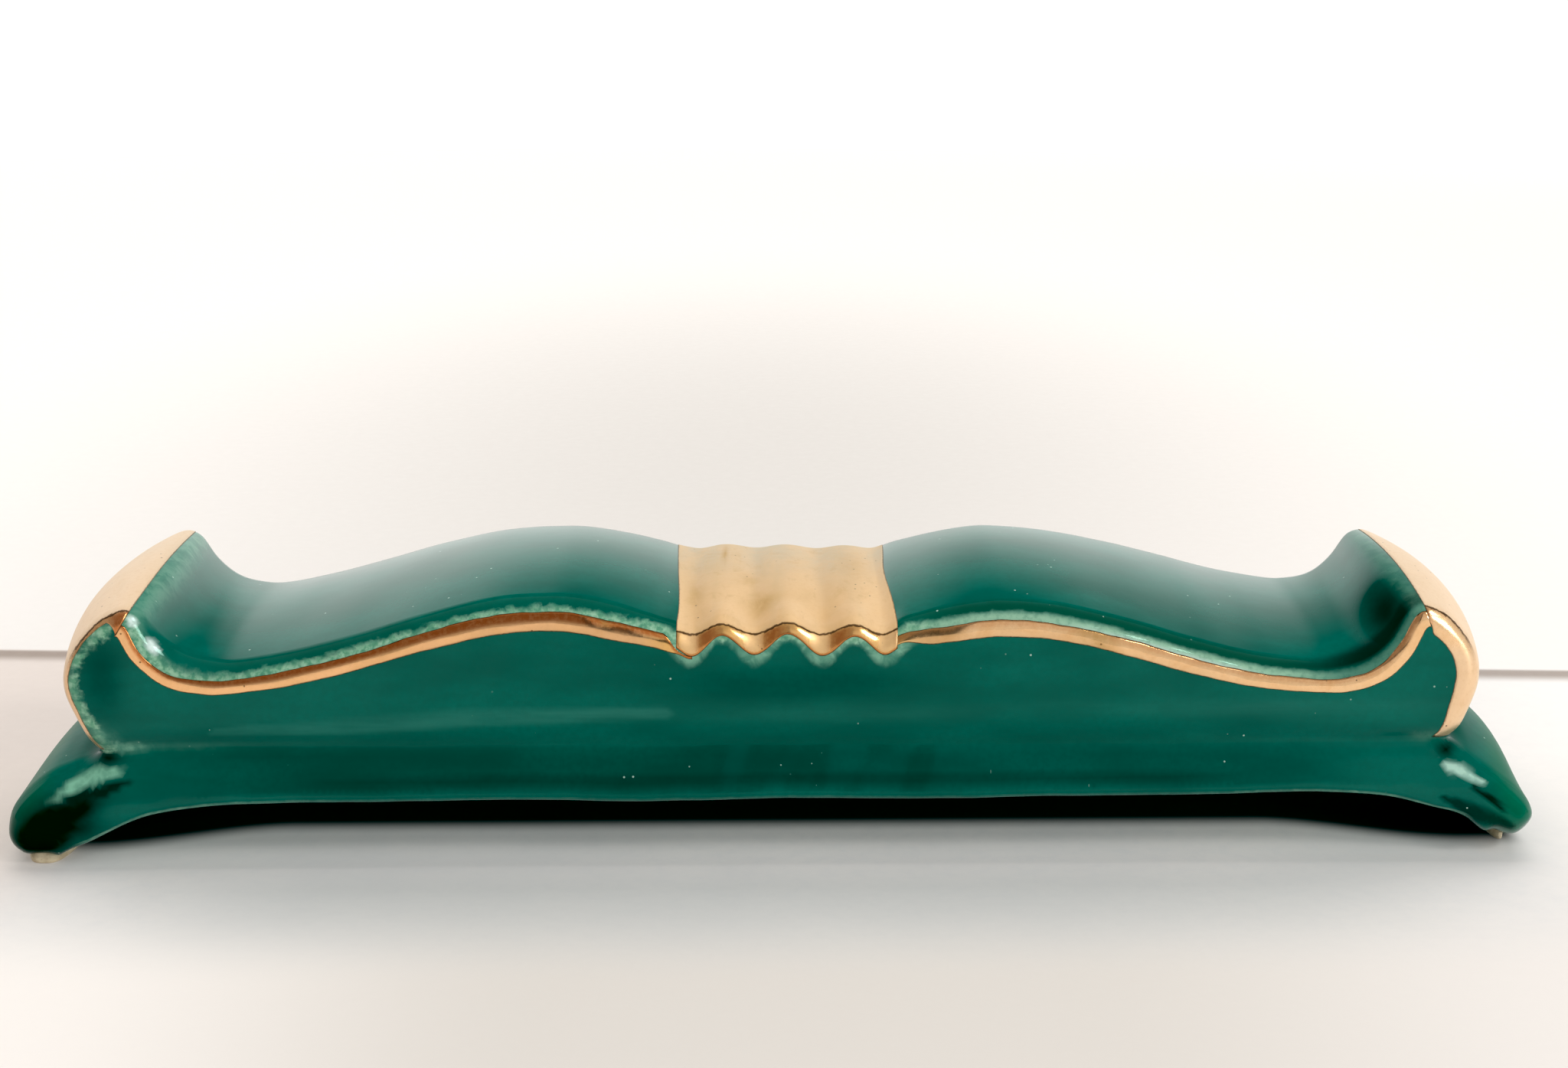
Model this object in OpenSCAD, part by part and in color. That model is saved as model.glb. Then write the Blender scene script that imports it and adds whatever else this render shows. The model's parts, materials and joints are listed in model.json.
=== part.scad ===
// Long ceramic knife rest with two cradles, a ribbed gilt saddle between
// two waves, a curled horn at each end and a bar foot under each horn.
// Millimetres. X runs along the length, -Y is the front, Z is up.
// The origin is on the table, under the middle of the piece.
//
// A closed outline in the XZ plane is carried across the depth. Each outline
// point has a partner on a branching centre line, so the front and back
// faces are rings that shrink from the rim on to that line.

/* [Overall size] */
// Length from toe to toe
length = 95; // [80:1:110]
// Depth over the two foot bars and the lower edge
base_depth = 20.4; // [19.6:0.1:23]
// Depth across the wave crests
top_depth = 18.4; // [17.6:0.1:19.2]
// Depth at the waist groove that runs round the body
waist_depth = 17.5; // [16.5:0.1:17.5]
// How much the upper part draws in on each side per millimetre of height
lean = 0.06; // [0:0.01:0.08]
// How far the top swells up at mid depth
crown = 0.5; // [0:0.05:0.6]
// How far the horn ends swell out at mid depth
end_crown = 1.0; // [0:0.05:1.2]

/* [Top profile] */
// Height of the horn tips
horn_height = 16.8; // [16.5:0.1:17.8]
// Height of the two wave crests
crest_height = 16.8; // [16:0.1:18]
// Height of the two cradle floors
cradle_height = 13.0; // [12.6:0.1:13.4]
// Mean height of the ribbed band
band_height = 15.3; // [14.8:0.1:15.8]
// Centre distance of the ribs
rib_pitch = 4.1; // [3.6:0.1:4.4]
// Rise of a rib above the groove beside it
rib_rise = 0.8; // [0.2:0.1:1.0]
// How far the ribbed band sits off the middle, as a hand made piece does
rib_shift = 0.5; // [-0.6:0.1:0.6]

/* [Base] */
// Height of the lower edge above the table at the middle
arch_height = 4.7; // [4.2:0.1:5.0]
// Height of the notch between horn and foot
notch_height = 7.6; // [7.4:0.1:7.9]
// Depth of the hollow that runs along the underside
dish_depth = 1.0; // [0:0.1:1.5]
// How far the bare foot pads stand below the glaze
pad_drop = 0.3; // [0.2:0.02:0.36]

/* [Edges] */
// Edge radius along the top rim
rim_r = 1.6; // [1.2:0.05:1.7]
// Edge radius over the ribbed band
rib_r = 1.3; // [1.0:0.05:1.5]
// Edge radius round the horns
horn_r = 1.1; // [0.8:0.05:1.2]
// Edge radius round the feet
foot_r = 1.9; // [1.4:0.05:2.0]
// Edge radius along the lower edge of the arch
arch_r = 0.55; // [0.5:0.05:0.8]

/* [Glaze and gilding] */
// Thickness of the glaze coat
glaze_t = 0.35; // [0.2:0.01:0.4]
// Thickness that stands for the gilding
gilt_t = 0.08; // [0.04:0.01:0.12]
// Width of the gilt line on the flat of the face, under the rim
line_w = 0.45; // [0.3:0.05:0.7]

/* [Hidden] */

sx = length / 95;          // everything along X follows the length
fine = 12;                 // stations 0.6 mm apart over the ribs
wide = 12;                 // stations 2.4 mm apart over a wave
nt = fine + wide;          // top stations on each side of the middle
nh = 10;                   // steps up one side of a horn
ng = 14;                   // steps along one side of a foot
N = 4 * (nt + nh + ng);    // points round the outline
NF = 3;                    // rows on a face: centre line, middle, gilt line
NP = 3;                    // steps round an edge
NS = 3;                    // rows across the top, the ends and the underside
NR = 2 * (NF + NP) + NS;   // cells from the front centre line to the back one

// ---- small helpers ----
function lerp(a, b, t) = a + (b - a) * t;
function smooth(t) = let(c = max(0, min(1, t))) c * c * (3 - 2 * c);
function cell(K, x, i = 0) = (i >= len(K) - 2 || x <= K[i + 1][0]) ? i : cell(K, x, i + 1);
function slope(K, i) = (i == 0) ? 0
    : (i == len(K) - 1) ? (K[i][1] - K[i - 1][1]) / (K[i][0] - K[i - 1][0])
    : (K[i + 1][1] - K[i - 1][1]) / (K[i + 1][0] - K[i - 1][0]);
// smooth curve z(x) through the knots K
function curve(K, x) = let(i = cell(K, x), h = K[i + 1][0] - K[i][0], t = (x - K[i][0]) / h,
    a = slope(K, i) * h, b = slope(K, i + 1) * h)
    (2 * pow(t, 3) - 3 * t * t + 1) * K[i][1] + (pow(t, 3) - 2 * t * t + t) * a
    + (3 * t * t - 2 * pow(t, 3)) * K[i + 1][1] + (pow(t, 3) - t * t) * b;
// smooth path through the points P, u from 0 to len(P) - 1
function path(P, u) = let(n = len(P) - 1, i = min(n - 1, floor(u)), t = u - i,
    p0 = P[max(0, i - 1)], p1 = P[i], p2 = P[i + 1], p3 = P[min(n, i + 2)],
    m1 = (p2 - p0) / 2, m2 = (p3 - p1) / 2)
    (2 * pow(t, 3) - 3 * t * t + 1) * p1 + (pow(t, 3) - 2 * t * t + t) * m1
    + (3 * t * t - 2 * pow(t, 3)) * p2 + (pow(t, 3) - t * t) * m2;

// ---- the outline, right half ----
rise = crest_height - band_height;
fall = crest_height - cradle_height;
horn = horn_height - cradle_height;
wave_knots = [[0, band_height], [3.6, band_height - 0.02], [6.2, band_height - 0.06],
    [8, band_height + 0.3 * rise], [10, band_height + 0.66 * rise], [12, band_height + 0.91 * rise],
    [14, crest_height], [18, cradle_height + 0.92 * fall], [22, cradle_height + 0.70 * fall],
    [26, cradle_height + 0.41 * fall], [30, cradle_height + 0.145 * fall],
    [34, cradle_height], [36, cradle_height + 0.1 * horn]];
arch_knots = [[0, arch_height], [12, arch_height - 0.05], [22, arch_height - 0.15],
    [30, arch_height - 0.25], [35, arch_height - 0.4], [39, arch_height - 0.8]];
function ribs(x) = let(d = x - rib_shift)
    rib_rise / 2 * cos(360 * d / rib_pitch) * (1 - smooth((abs(d) - 5.2) / 2.2));
function top_z(x) = curve(wave_knots, abs(x)) + ribs(x);
function arch_z(x) = curve(arch_knots, abs(x));

function hz(f) = cradle_height + f * horn;
horn_in = [[36, hz(0.1)], [36.75, hz(0.215)], [37.35, hz(0.37)], [37.9, hz(0.56)],
    [38.3, hz(0.735)], [38.65, hz(0.87)], [39.1, hz(0.965)], [39.7, hz(1)]];
nz = notch_height;
horn_out = [[41.0, nz], [42.2, nz + 1.1], [43.0, nz + 2.3], [43.45, nz + 3.8],
    [43.3, nz + 5.4], [42.5, nz + 7.0], [41.2, hz(1) - 0.75], [39.7, hz(1)]];
horn_mid = [[38.6, nz - 0.1], [39.9, nz + 1.8], [40.5, nz + 3.6], [40.65, nz + 5.0],
    [40.6, hz(1) - 3.25], [40.45, hz(1) - 2.5], [40.2, hz(1) - 1.95], [40.05, hz(1) - 1.5]];
sole = pad_drop;
foot_top = [[41.0, nz], [42.0, nz - 0.4], [43.1, nz - 0.85], [44.2, nz - 1.5],
    [45.2, nz - 2.25], [46.3, nz - 3.15], [47.1, nz - 4.2], [47.5, 1.75]];
foot_low = [[39, arch_height - 0.8], [41.4, arch_height - 1.8], [43.2, 1.65], [44.5, sole],
    [45.4, sole], [46.3, sole], [47.1, 0.7], [47.5, 1.75]];
foot_mid = [[38.6, nz - 0.1], [40.6, nz - 1.9], [42.0, nz - 2.9], [43.1, nz - 3.6],
    [44.1, nz - 4.2], [44.8, 2.95], [45.3, 2.55], [45.6, 2.4]];

// station k, from -nt to nt, along the top, the centre line and the arch
function sgn(k) = k < 0 ? -1 : 1;
function st_x(k) = let(a = abs(k)) sgn(k) * (a <= fine ? 0.6 * a : 7.2 + (a - fine) * 2.4);
function spread(x, end) = x * (1 + (end / 36 - 1) * pow(abs(x) / 36, 2));

// Every outline point as [x, z, centre line x, centre line z, edge radius, dish weight, swell at mid depth].
function top_pt(k) = let(x = st_x(k))
    [x, top_z(x), spread(x, 38.6), nz - 0.1, lerp(rib_r, rim_r, smooth((abs(x) - 7) / 4)), 0, crown];
function arch_pt(k) = let(x = st_x(k), xb = spread(x, 39))
    [xb, arch_z(xb), spread(x, 38.6), nz - 0.1, arch_r, 1 - smooth((abs(xb) - 30) / 8), 0];
function branch(P, Q, u, r, c, s) = let(p = path(P, u), q = path(Q, u))
    [s * p[0], max(sole, p[1]), s * q[0], q[1], r, 0, c];
function up(h) = 7 * h / nh;
function out(g) = 7 * g / ng;
function horn_c(u) = lerp(end_crown * smooth(u / 3), crown, smooth((u - 4.5) / 2.5));
function side_pts(s) = concat(
    [for (h = [1 : nh]) branch(horn_in, horn_mid, up(h), lerp(rim_r, horn_r, smooth(up(h) / 7)), crown, s)],
    [for (h = [nh - 1 : -1 : 1]) branch(horn_out, horn_mid, up(h), horn_r, horn_c(up(h)), s)],
    [for (g = [0 : ng]) branch(foot_top, foot_mid, out(g), lerp(0.9 * horn_r, foot_r, smooth(out(g) / 2.5)), 0, s)],
    [for (g = [ng - 1 : -1 : 1]) branch(foot_low, foot_mid, out(g), lerp(arch_r, foot_r, smooth((out(g) - 0.5) / 4.5)), 0, s)]);
function flip(L) = [for (i = [len(L) - 1 : -1 : 0]) L[i]];
raw = concat([for (k = [-nt : nt]) top_pt(k)], side_pts(1),
    [for (k = [nt : -1 : -nt]) arch_pt(k)], flip(side_pts(-1)));
OUT = [for (p = raw) [p[0] * sx, p[1], p[2] * sx, p[3], p[4], p[5], p[6]]];
// outward direction at each outline point
NRM = [for (i = [0 : N - 1]) let(a = OUT[(i + N - 1) % N], b = OUT[(i + 1) % N],
    d = [b[0] - a[0], b[1] - a[1]]) [-d[1], d[0]] / norm(d)];

// number of each outline point's partner on the centre line
function top_id(k) = k + nt;                        // 0 .. 2 nt, ends are the two junctions
base_r = 2 * nt + 1;                                // right horn, right foot
base_l = base_r + nh + ng;                          // left horn, left foot
function side_ids(b, junction) = concat([for (h = [1 : nh]) b + h - 1], [for (h = [nh - 1 : -1 : 1]) b + h - 1],
    [junction], [for (g = [1 : ng]) b + nh + g - 1], [for (g = [ng - 1 : -1 : 1]) b + nh + g - 1]);
SKEL = concat([for (k = [-nt : nt]) top_id(k)], side_ids(base_r, 2 * nt),
    [for (k = [nt : -1 : -nt]) top_id(k)], flip(side_ids(base_l, 0)));
NK = base_l + nh + ng;                              // points on the centre line
FIRST = [for (s = [0 : NK - 1]) search(s, SKEL)[0]];

// half depth of the body at a point of its face: a waist groove with the
// upper part standing out a little and the lower part flaring to the base
swell = (top_depth - waist_depth) / 2 + lean * (14.9 - nz);
function half_depth(x, z) = let(zc = nz + 0.1, e = smooth((abs(x) / sx - 26) / 14),
    w = lerp(0.75, 0.5, e), w2 = lerp(2.4, 1.6, e))
    z > zc ? waist_depth / 2 + swell * (1 - exp(-(z - zc) / w)) - lean * (z - zc)
           : waist_depth / 2 + (base_depth - waist_depth) / 2 * min(1, (1 - exp(-(zc - z) / w2)) / (1 - exp(-3.4 / w2)));

// Surface point: outline index i, row j, depth under the glaze surface.
function surf(i, j, off) = j > NR / 2 ? let(p = surf0(i, NR - j, off)) [p[0], -p[1], p[2]] : surf0(i, j, off);
function surf0(i, j, off) = let(o = OUT[i], K = [o[2], o[3]], P0 = [o[0], o[1]],
    r = max(0.15, min(o[4], 0.72 * norm(K - P0)) - off),
    P = P0 - NRM[i] * off, D = (K - P) / norm(K - P), R = P + D * r,
    th = atan(2 * o[6] / (half_depth(P[0], P[1]) - off)))
    j == 0 ? [K[0], -(half_depth(K[0], K[1]) - off), K[1]]
    : j < NF ? let(Q = lerp(R, K, j == 1 ? 0.6 : min(0.35, line_w / norm(K - R))))
        [Q[0], -(half_depth(Q[0], Q[1]) - off), Q[1]]
    : j <= NF + NP ? let(a = th + (90 - th) * (1 - (j - NF) / NP), Q = P + D * r * (1 - cos(a)))
        [Q[0], -(half_depth(Q[0], Q[1]) - off - r * (1 - sin(a))), Q[1]]
    : let(Q = P + D * r * (1 - cos(th)), y0 = half_depth(Q[0], Q[1]) - off - r * (1 - sin(th)),
        v = 1 - 2 * (j - NF - NP) / NS, w = 1 - v * v, B = Q + NRM[i] * o[6] * w)
        [B[0], -y0 * v, B[1] + dish_depth * o[5] * w];

// ---- closed solids from the surface ----
// point list: front centre line, rows 1 .. NR - 1, back centre line
function grid(off) = concat([for (s = [0 : NK - 1]) surf(FIRST[s], 0, off)],
    [for (j = [1 : NR - 1]) for (i = [0 : N - 1]) surf(i, j, off)],
    [for (s = [0 : NK - 1]) surf(FIRST[s], NR, off)]);
function at(i, j) = j == 0 ? SKEL[i % N] : j == NR ? NK + (NR - 1) * N + SKEL[i % N] : NK + (j - 1) * N + i % N;
COUNT = 2 * NK + (NR - 1) * N;
// is this cell in the bare strip under a foot?
right_toe = 2 * nt + 2 * nh + ng;                   // outline index of the right toe
left_toe = N + 2 * nt - right_toe;
strip = ng * 2 / 7;                                 // the strip runs from strip to 2 strip past the toe
function bare(i, j) = j >= NF + NP && j < NF + NP + NS
    && ((i >= right_toe + strip && i < right_toe + 2 * strip) || (i >= left_toe - 2 * strip && i < left_toe - strip));
function quad(a, b, c, d) = [[a, c, b], [a, d, c]];
function sheet(skip, base, turn) = [for (j = [0 : NR - 1]) for (i = [0 : N - 1]) if (!(skip && bare(i, j)))
    for (t = quad(at(i, j), at(i + 1, j), at(i + 1, j + 1), at(i, j + 1)))
        turn ? [base + t[2], base + t[1], base + t[0]] : [base + t[0], base + t[1], base + t[2]]];
// walls between the glaze's two skins round each bare strip
function walls() = [for (j = [NF + NP : NF + NP + NS - 1]) for (i = [0 : N - 1]) if (bare(i, j)) each concat(
    !bare(i - 1, j) ? quad(at(i, j + 1), at(i, j), COUNT + at(i, j), COUNT + at(i, j + 1)) : [],
    !bare(i + 1, j) ? quad(at(i + 1, j), at(i + 1, j + 1), COUNT + at(i + 1, j + 1), COUNT + at(i + 1, j)) : [],
    !bare(i, j - 1) ? quad(at(i, j), at(i + 1, j), COUNT + at(i + 1, j), COUNT + at(i, j)) : [],
    !bare(i, j + 1) ? quad(at(i + 1, j + 1), at(i, j + 1), COUNT + at(i, j + 1), COUNT + at(i + 1, j + 1)) : [])];

// a thin layer on the glaze, over outline points i0 .. i1 and rows j0 .. j1
module layer(i0, i1, j0, j1) {
    w = i1 - i0 + 1; h = j1 - j0 + 1; n = w * h;
    function id(i, j) = j * w + i;
    pts = concat([for (j = [j0 : j1]) for (i = [i0 : i1]) surf((i + N) % N, j, -gilt_t)],
                 [for (j = [j0 : j1]) for (i = [i0 : i1]) surf((i + N) % N, j, 0)]);
    skins = [for (j = [0 : h - 2]) for (i = [0 : w - 2])
        each concat(quad(id(i, j), id(i + 1, j), id(i + 1, j + 1), id(i, j + 1)),
            quad(n + id(i, j), n + id(i, j + 1), n + id(i + 1, j + 1), n + id(i + 1, j)))];
    long_edges = [for (i = [0 : w - 2]) each concat(
        quad(id(i + 1, 0), id(i, 0), n + id(i, 0), n + id(i + 1, 0)),
        quad(id(i, h - 1), id(i + 1, h - 1), n + id(i + 1, h - 1), n + id(i, h - 1)))];
    short_edges = [for (j = [0 : h - 2]) each concat(
        quad(id(0, j), id(0, j + 1), n + id(0, j + 1), n + id(0, j)),
        quad(id(w - 1, j + 1), id(w - 1, j), n + id(w - 1, j), n + id(w - 1, j + 1)))];
    polyhedron(pts, concat(skins, long_edges, short_edges));
}

// Where the gilding starts and stops along the outline.
saddle_l = nt - 11;                    // left end of the saddle, x = -6.6
saddle_r = nt + 12;                    // right end of the saddle, x = 7.2
tip_r = 2 * nt + nh;                   // right horn tip
notch_r = 2 * nt + 2 * nh;             // right notch
tip_l = -nh;                           // left horn tip
notch_l = -2 * nh;                     // left notch
line_out = NF - 1;                     // rows of the gilt line
line_in = NF + 1;

// Fired clay body, with a bare pad under each foot that stands on the table.
module biscuit_body() {
    color("antiquewhite") union() {
        polyhedron(grid(glaze_t), sheet(false, 0, false));
        for (s = [-1, 1]) translate([s * 45.4 * sx, 0, 0]) foot_pad();
    }
}

// Flat bar with round corners that the piece stands on.
module foot_pad() {
    w = 1.5; d = base_depth - 2 * foot_r - 0.55; r = 0.5;
    linear_extrude(height = 1.2) union() {
        square([w - 2 * r, d], center = true);
        square([w, d - 2 * r], center = true);
        for (x = [-1, 1], y = [-1, 1])
            translate([x * (w / 2 - r), y * (d / 2 - r)]) circle(r, $fn = 24);
    }
}

// Green glaze all over the body except the two bare strips under the feet.
module glaze_coat() {
    color("teal") polyhedron(concat(grid(0), grid(glaze_t)),
        concat(sheet(true, 0, false), sheet(true, COUNT, true), walls()));
}

// Ribbed gold band between the waves, over the rim at front and back.
module gilt_saddle() { color("gold") layer(saddle_l, saddle_r, NF, NR - NF); }

// Gold lines along the rim, from the saddle to each horn tip.
module gilt_line_front_left() { color("gold") layer(tip_l, saddle_l, line_out, line_in); }
module gilt_line_front_right() { color("gold") layer(saddle_r, tip_r, line_out, line_in); }
module gilt_line_back_left() { color("gold") layer(tip_l, saddle_l, NR - line_in, NR - line_out); }
module gilt_line_back_right() { color("gold") layer(saddle_r, tip_r, NR - line_in, NR - line_out); }

// Gold on the outside of each horn, from its tip down to the notch. The
// right one also laps over the horn's front edge.
module gilt_end_left() { color("gold") layer(notch_l, tip_l, line_in, NR - line_in); }
module gilt_end_right() { color("gold") layer(tip_r, notch_r, NF, NR - line_in); }

biscuit_body();
glaze_coat();
gilt_saddle();
gilt_line_front_left();
gilt_line_front_right();
gilt_line_back_left();
gilt_line_back_right();
gilt_end_left();
gilt_end_right();
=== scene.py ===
import json
import math

import bmesh
import bpy
import numpy as np
from mathutils import Matrix, Vector
from mathutils.geometry import delaunay_2d_cdt

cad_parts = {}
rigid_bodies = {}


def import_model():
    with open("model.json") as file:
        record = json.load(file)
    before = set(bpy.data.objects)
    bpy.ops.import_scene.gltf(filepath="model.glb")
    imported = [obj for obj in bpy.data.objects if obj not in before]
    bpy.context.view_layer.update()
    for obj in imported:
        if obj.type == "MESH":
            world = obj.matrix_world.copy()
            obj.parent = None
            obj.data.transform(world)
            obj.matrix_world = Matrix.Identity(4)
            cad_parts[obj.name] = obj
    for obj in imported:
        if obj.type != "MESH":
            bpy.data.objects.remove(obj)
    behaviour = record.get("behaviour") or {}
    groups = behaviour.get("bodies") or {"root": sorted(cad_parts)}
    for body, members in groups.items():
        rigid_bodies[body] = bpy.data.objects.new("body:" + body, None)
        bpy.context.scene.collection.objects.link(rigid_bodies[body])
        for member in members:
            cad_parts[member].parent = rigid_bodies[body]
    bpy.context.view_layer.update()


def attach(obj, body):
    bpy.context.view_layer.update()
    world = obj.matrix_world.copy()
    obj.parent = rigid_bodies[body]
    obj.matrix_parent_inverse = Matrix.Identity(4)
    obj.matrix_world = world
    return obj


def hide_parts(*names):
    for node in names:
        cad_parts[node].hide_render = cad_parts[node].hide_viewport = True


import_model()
MM = 0.001

# ---------------------------------------------------------------- sizes (mm), as in the CAD
BASE_D, TOP_D, WAIST_D, LEAN = 20.4, 18.4, 17.5, 0.06
CROWN, END_CROWN = 0.5, 1.0
HORN_H, CREST_H, CRADLE_H, BAND_H = 16.8, 16.8, 13.0, 15.3
RIB_PITCH, RIB_RISE, RIB_SHIFT = 4.1, 0.8, 0.5
ARCH_H, NZ, DISH, SOLE = 4.7, 7.6, 1.0, 0.3
RIM_R, RIB_R, HORN_R, FOOT_R, ARCH_R = 1.6, 1.3, 1.1, 1.9, 0.55
GLAZE_T = 0.35
RISE, FALL, HORN = CREST_H - BAND_H, CREST_H - CRADLE_H, HORN_H - CRADLE_H


def lerp(a, b, t):
    return a + (b - a) * t


def smooth(t):
    c = np.clip(t, 0.0, 1.0)
    return c * c * (3 - 2 * c)


def step(a, b, x):
    return smooth((np.asarray(x, float) - a) / (b - a))


def curve(K, x):
    K = np.asarray(K, float)
    x = np.asarray(x, float)
    i = np.clip(np.searchsorted(K[:, 0], x, side="left") - 1, 0, len(K) - 2)
    s = np.zeros(len(K))
    s[1:-1] = (K[2:, 1] - K[:-2, 1]) / (K[2:, 0] - K[:-2, 0])
    s[-1] = (K[-1, 1] - K[-2, 1]) / (K[-1, 0] - K[-2, 0])
    h = K[i + 1, 0] - K[i, 0]
    t = (x - K[i, 0]) / h
    return ((2 * t**3 - 3 * t**2 + 1) * K[i, 1] + (t**3 - 2 * t**2 + t) * s[i] * h
            + (3 * t**2 - 2 * t**3) * K[i + 1, 1] + (t**3 - t**2) * s[i + 1] * h)


def path(P, u):
    P = np.asarray(P, float)
    n = len(P) - 1
    i = np.clip(np.floor(u).astype(int), 0, n - 1)
    t = (u - i)[:, None]
    p0, p1, p2, p3 = P[np.maximum(0, i - 1)], P[i], P[i + 1], P[np.minimum(n, i + 2)]
    m1, m2 = (p2 - p0) / 2, (p3 - p1) / 2
    return ((2 * t**3 - 3 * t**2 + 1) * p1 + (t**3 - 2 * t**2 + t) * m1
            + (3 * t**2 - 2 * t**3) * p2 + (t**3 - t**2) * m2)


def hz(f):
    return CRADLE_H + f * HORN


WAVE = [[0, BAND_H], [3.6, BAND_H - 0.02], [6.2, BAND_H - 0.06], [8, BAND_H + 0.3 * RISE],
        [10, BAND_H + 0.66 * RISE], [12, BAND_H + 0.91 * RISE], [14, CREST_H],
        [18, CRADLE_H + 0.92 * FALL], [22, CRADLE_H + 0.70 * FALL], [26, CRADLE_H + 0.41 * FALL],
        [30, CRADLE_H + 0.145 * FALL], [34, CRADLE_H], [36, CRADLE_H + 0.1 * HORN]]
ARCH = [[0, ARCH_H], [12, ARCH_H - 0.05], [22, ARCH_H - 0.15], [30, ARCH_H - 0.25],
        [35, ARCH_H - 0.4], [39, ARCH_H - 0.8]]
HORN_IN = [[36, hz(0.1)], [36.75, hz(0.215)], [37.35, hz(0.37)], [37.9, hz(0.56)],
           [38.3, hz(0.735)], [38.65, hz(0.87)], [39.1, hz(0.965)], [39.7, hz(1)]]
HORN_OUT = [[41.0, NZ], [42.2, NZ + 1.1], [43.0, NZ + 2.3], [43.45, NZ + 3.8],
            [43.3, NZ + 5.4], [42.5, NZ + 7.0], [41.2, hz(1) - 0.75], [39.7, hz(1)]]
HORN_MID = [[38.6, NZ - 0.1], [39.9, NZ + 1.8], [40.5, NZ + 3.6], [40.65, NZ + 5.0],
            [40.6, hz(1) - 3.25], [40.45, hz(1) - 2.5], [40.2, hz(1) - 1.95], [40.05, hz(1) - 1.5]]
FOOT_TOP = [[41.0, NZ], [42.0, NZ - 0.4], [43.1, NZ - 0.85], [44.2, NZ - 1.5],
            [45.2, NZ - 2.25], [46.3, NZ - 3.15], [47.1, NZ - 4.2], [47.5, 1.75]]
FOOT_LOW = [[39, ARCH_H - 0.8], [41.4, ARCH_H - 1.8], [43.2, 1.65], [44.5, SOLE],
            [45.4, SOLE], [46.3, SOLE], [47.1, 0.7], [47.5, 1.75]]
FOOT_MID = [[38.6, NZ - 0.1], [40.6, NZ - 1.9], [42.0, NZ - 2.9], [43.1, NZ - 3.6],
            [44.1, NZ - 4.2], [44.8, 2.95], [45.3, 2.55], [45.6, 2.4]]


def ribs(x):
    d = x - RIB_SHIFT
    return RIB_RISE / 2 * np.cos(2 * math.pi * d / RIB_PITCH) * (1 - smooth((np.abs(d) - 5.2) / 2.2))


def spread(x, end):
    return x * (1 + (end / 36 - 1) * (np.abs(x) / 36) ** 2)


def horn_crown(u):
    return lerp(END_CROWN * smooth(u / 3), CROWN, smooth((u - 4.5) / 2.5))


def cols(xz, kz, r, dish, crown):
    n = len(xz)
    return np.column_stack([xz, kz, np.broadcast_to(r, n), np.broadcast_to(dish, n), np.broadcast_to(crown, n)])


def side(s):
    """Right (s = 1) or left side, from the junction with the top to the one with the arch, in four runs."""
    f = np.array([s, 1.0])
    runs = []
    u = np.linspace(0, 7, 200)
    runs.append(cols(path(HORN_IN, u) * f, path(HORN_MID, u) * f, lerp(RIM_R, HORN_R, smooth(u / 7)), 0, CROWN))
    u = np.linspace(7, 0, 360)
    runs.append(cols(path(HORN_OUT, u) * f, path(HORN_MID, u) * f, HORN_R, 0, horn_crown(u)))
    u = np.linspace(0, 7, 260)
    runs.append(cols(path(FOOT_TOP, u) * f, path(FOOT_MID, u) * f,
                     lerp(0.9 * HORN_R, FOOT_R, smooth(u / 2.5)), 0, (1.3 if s > 0 else 0.45) * smooth(u / 1.6) * (1 - smooth((u - 4.2) / 2.4))))
    u = np.linspace(7, 0, 300)
    low = path(FOOT_LOW, u)
    low[:, 1] = np.maximum(low[:, 1], SOLE)
    runs.append(cols(low * f, path(FOOT_MID, u) * f, lerp(ARCH_R, FOOT_R, smooth((u - 0.5) / 4.5)), 0, 0))
    return runs


def top_run():
    x = np.linspace(-36, 36, 1441)
    k = np.column_stack([spread(x, 38.6), np.full_like(x, NZ - 0.1)])
    return cols(np.column_stack([x, curve(WAVE, np.abs(x)) + ribs(x)]), k,
                lerp(RIB_R, RIM_R, smooth((np.abs(x) - 7) / 4)), 0, CROWN)


def arch_run():
    x = np.linspace(36, -36, 1441)
    xb = spread(x, 39)
    k = np.column_stack([spread(x, 38.6), np.full_like(x, NZ - 0.1)])
    return cols(np.column_stack([xb, curve(ARCH, np.abs(xb))]), k, ARCH_R, 1 - smooth((np.abs(xb) - 30) / 8), 0)


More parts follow.
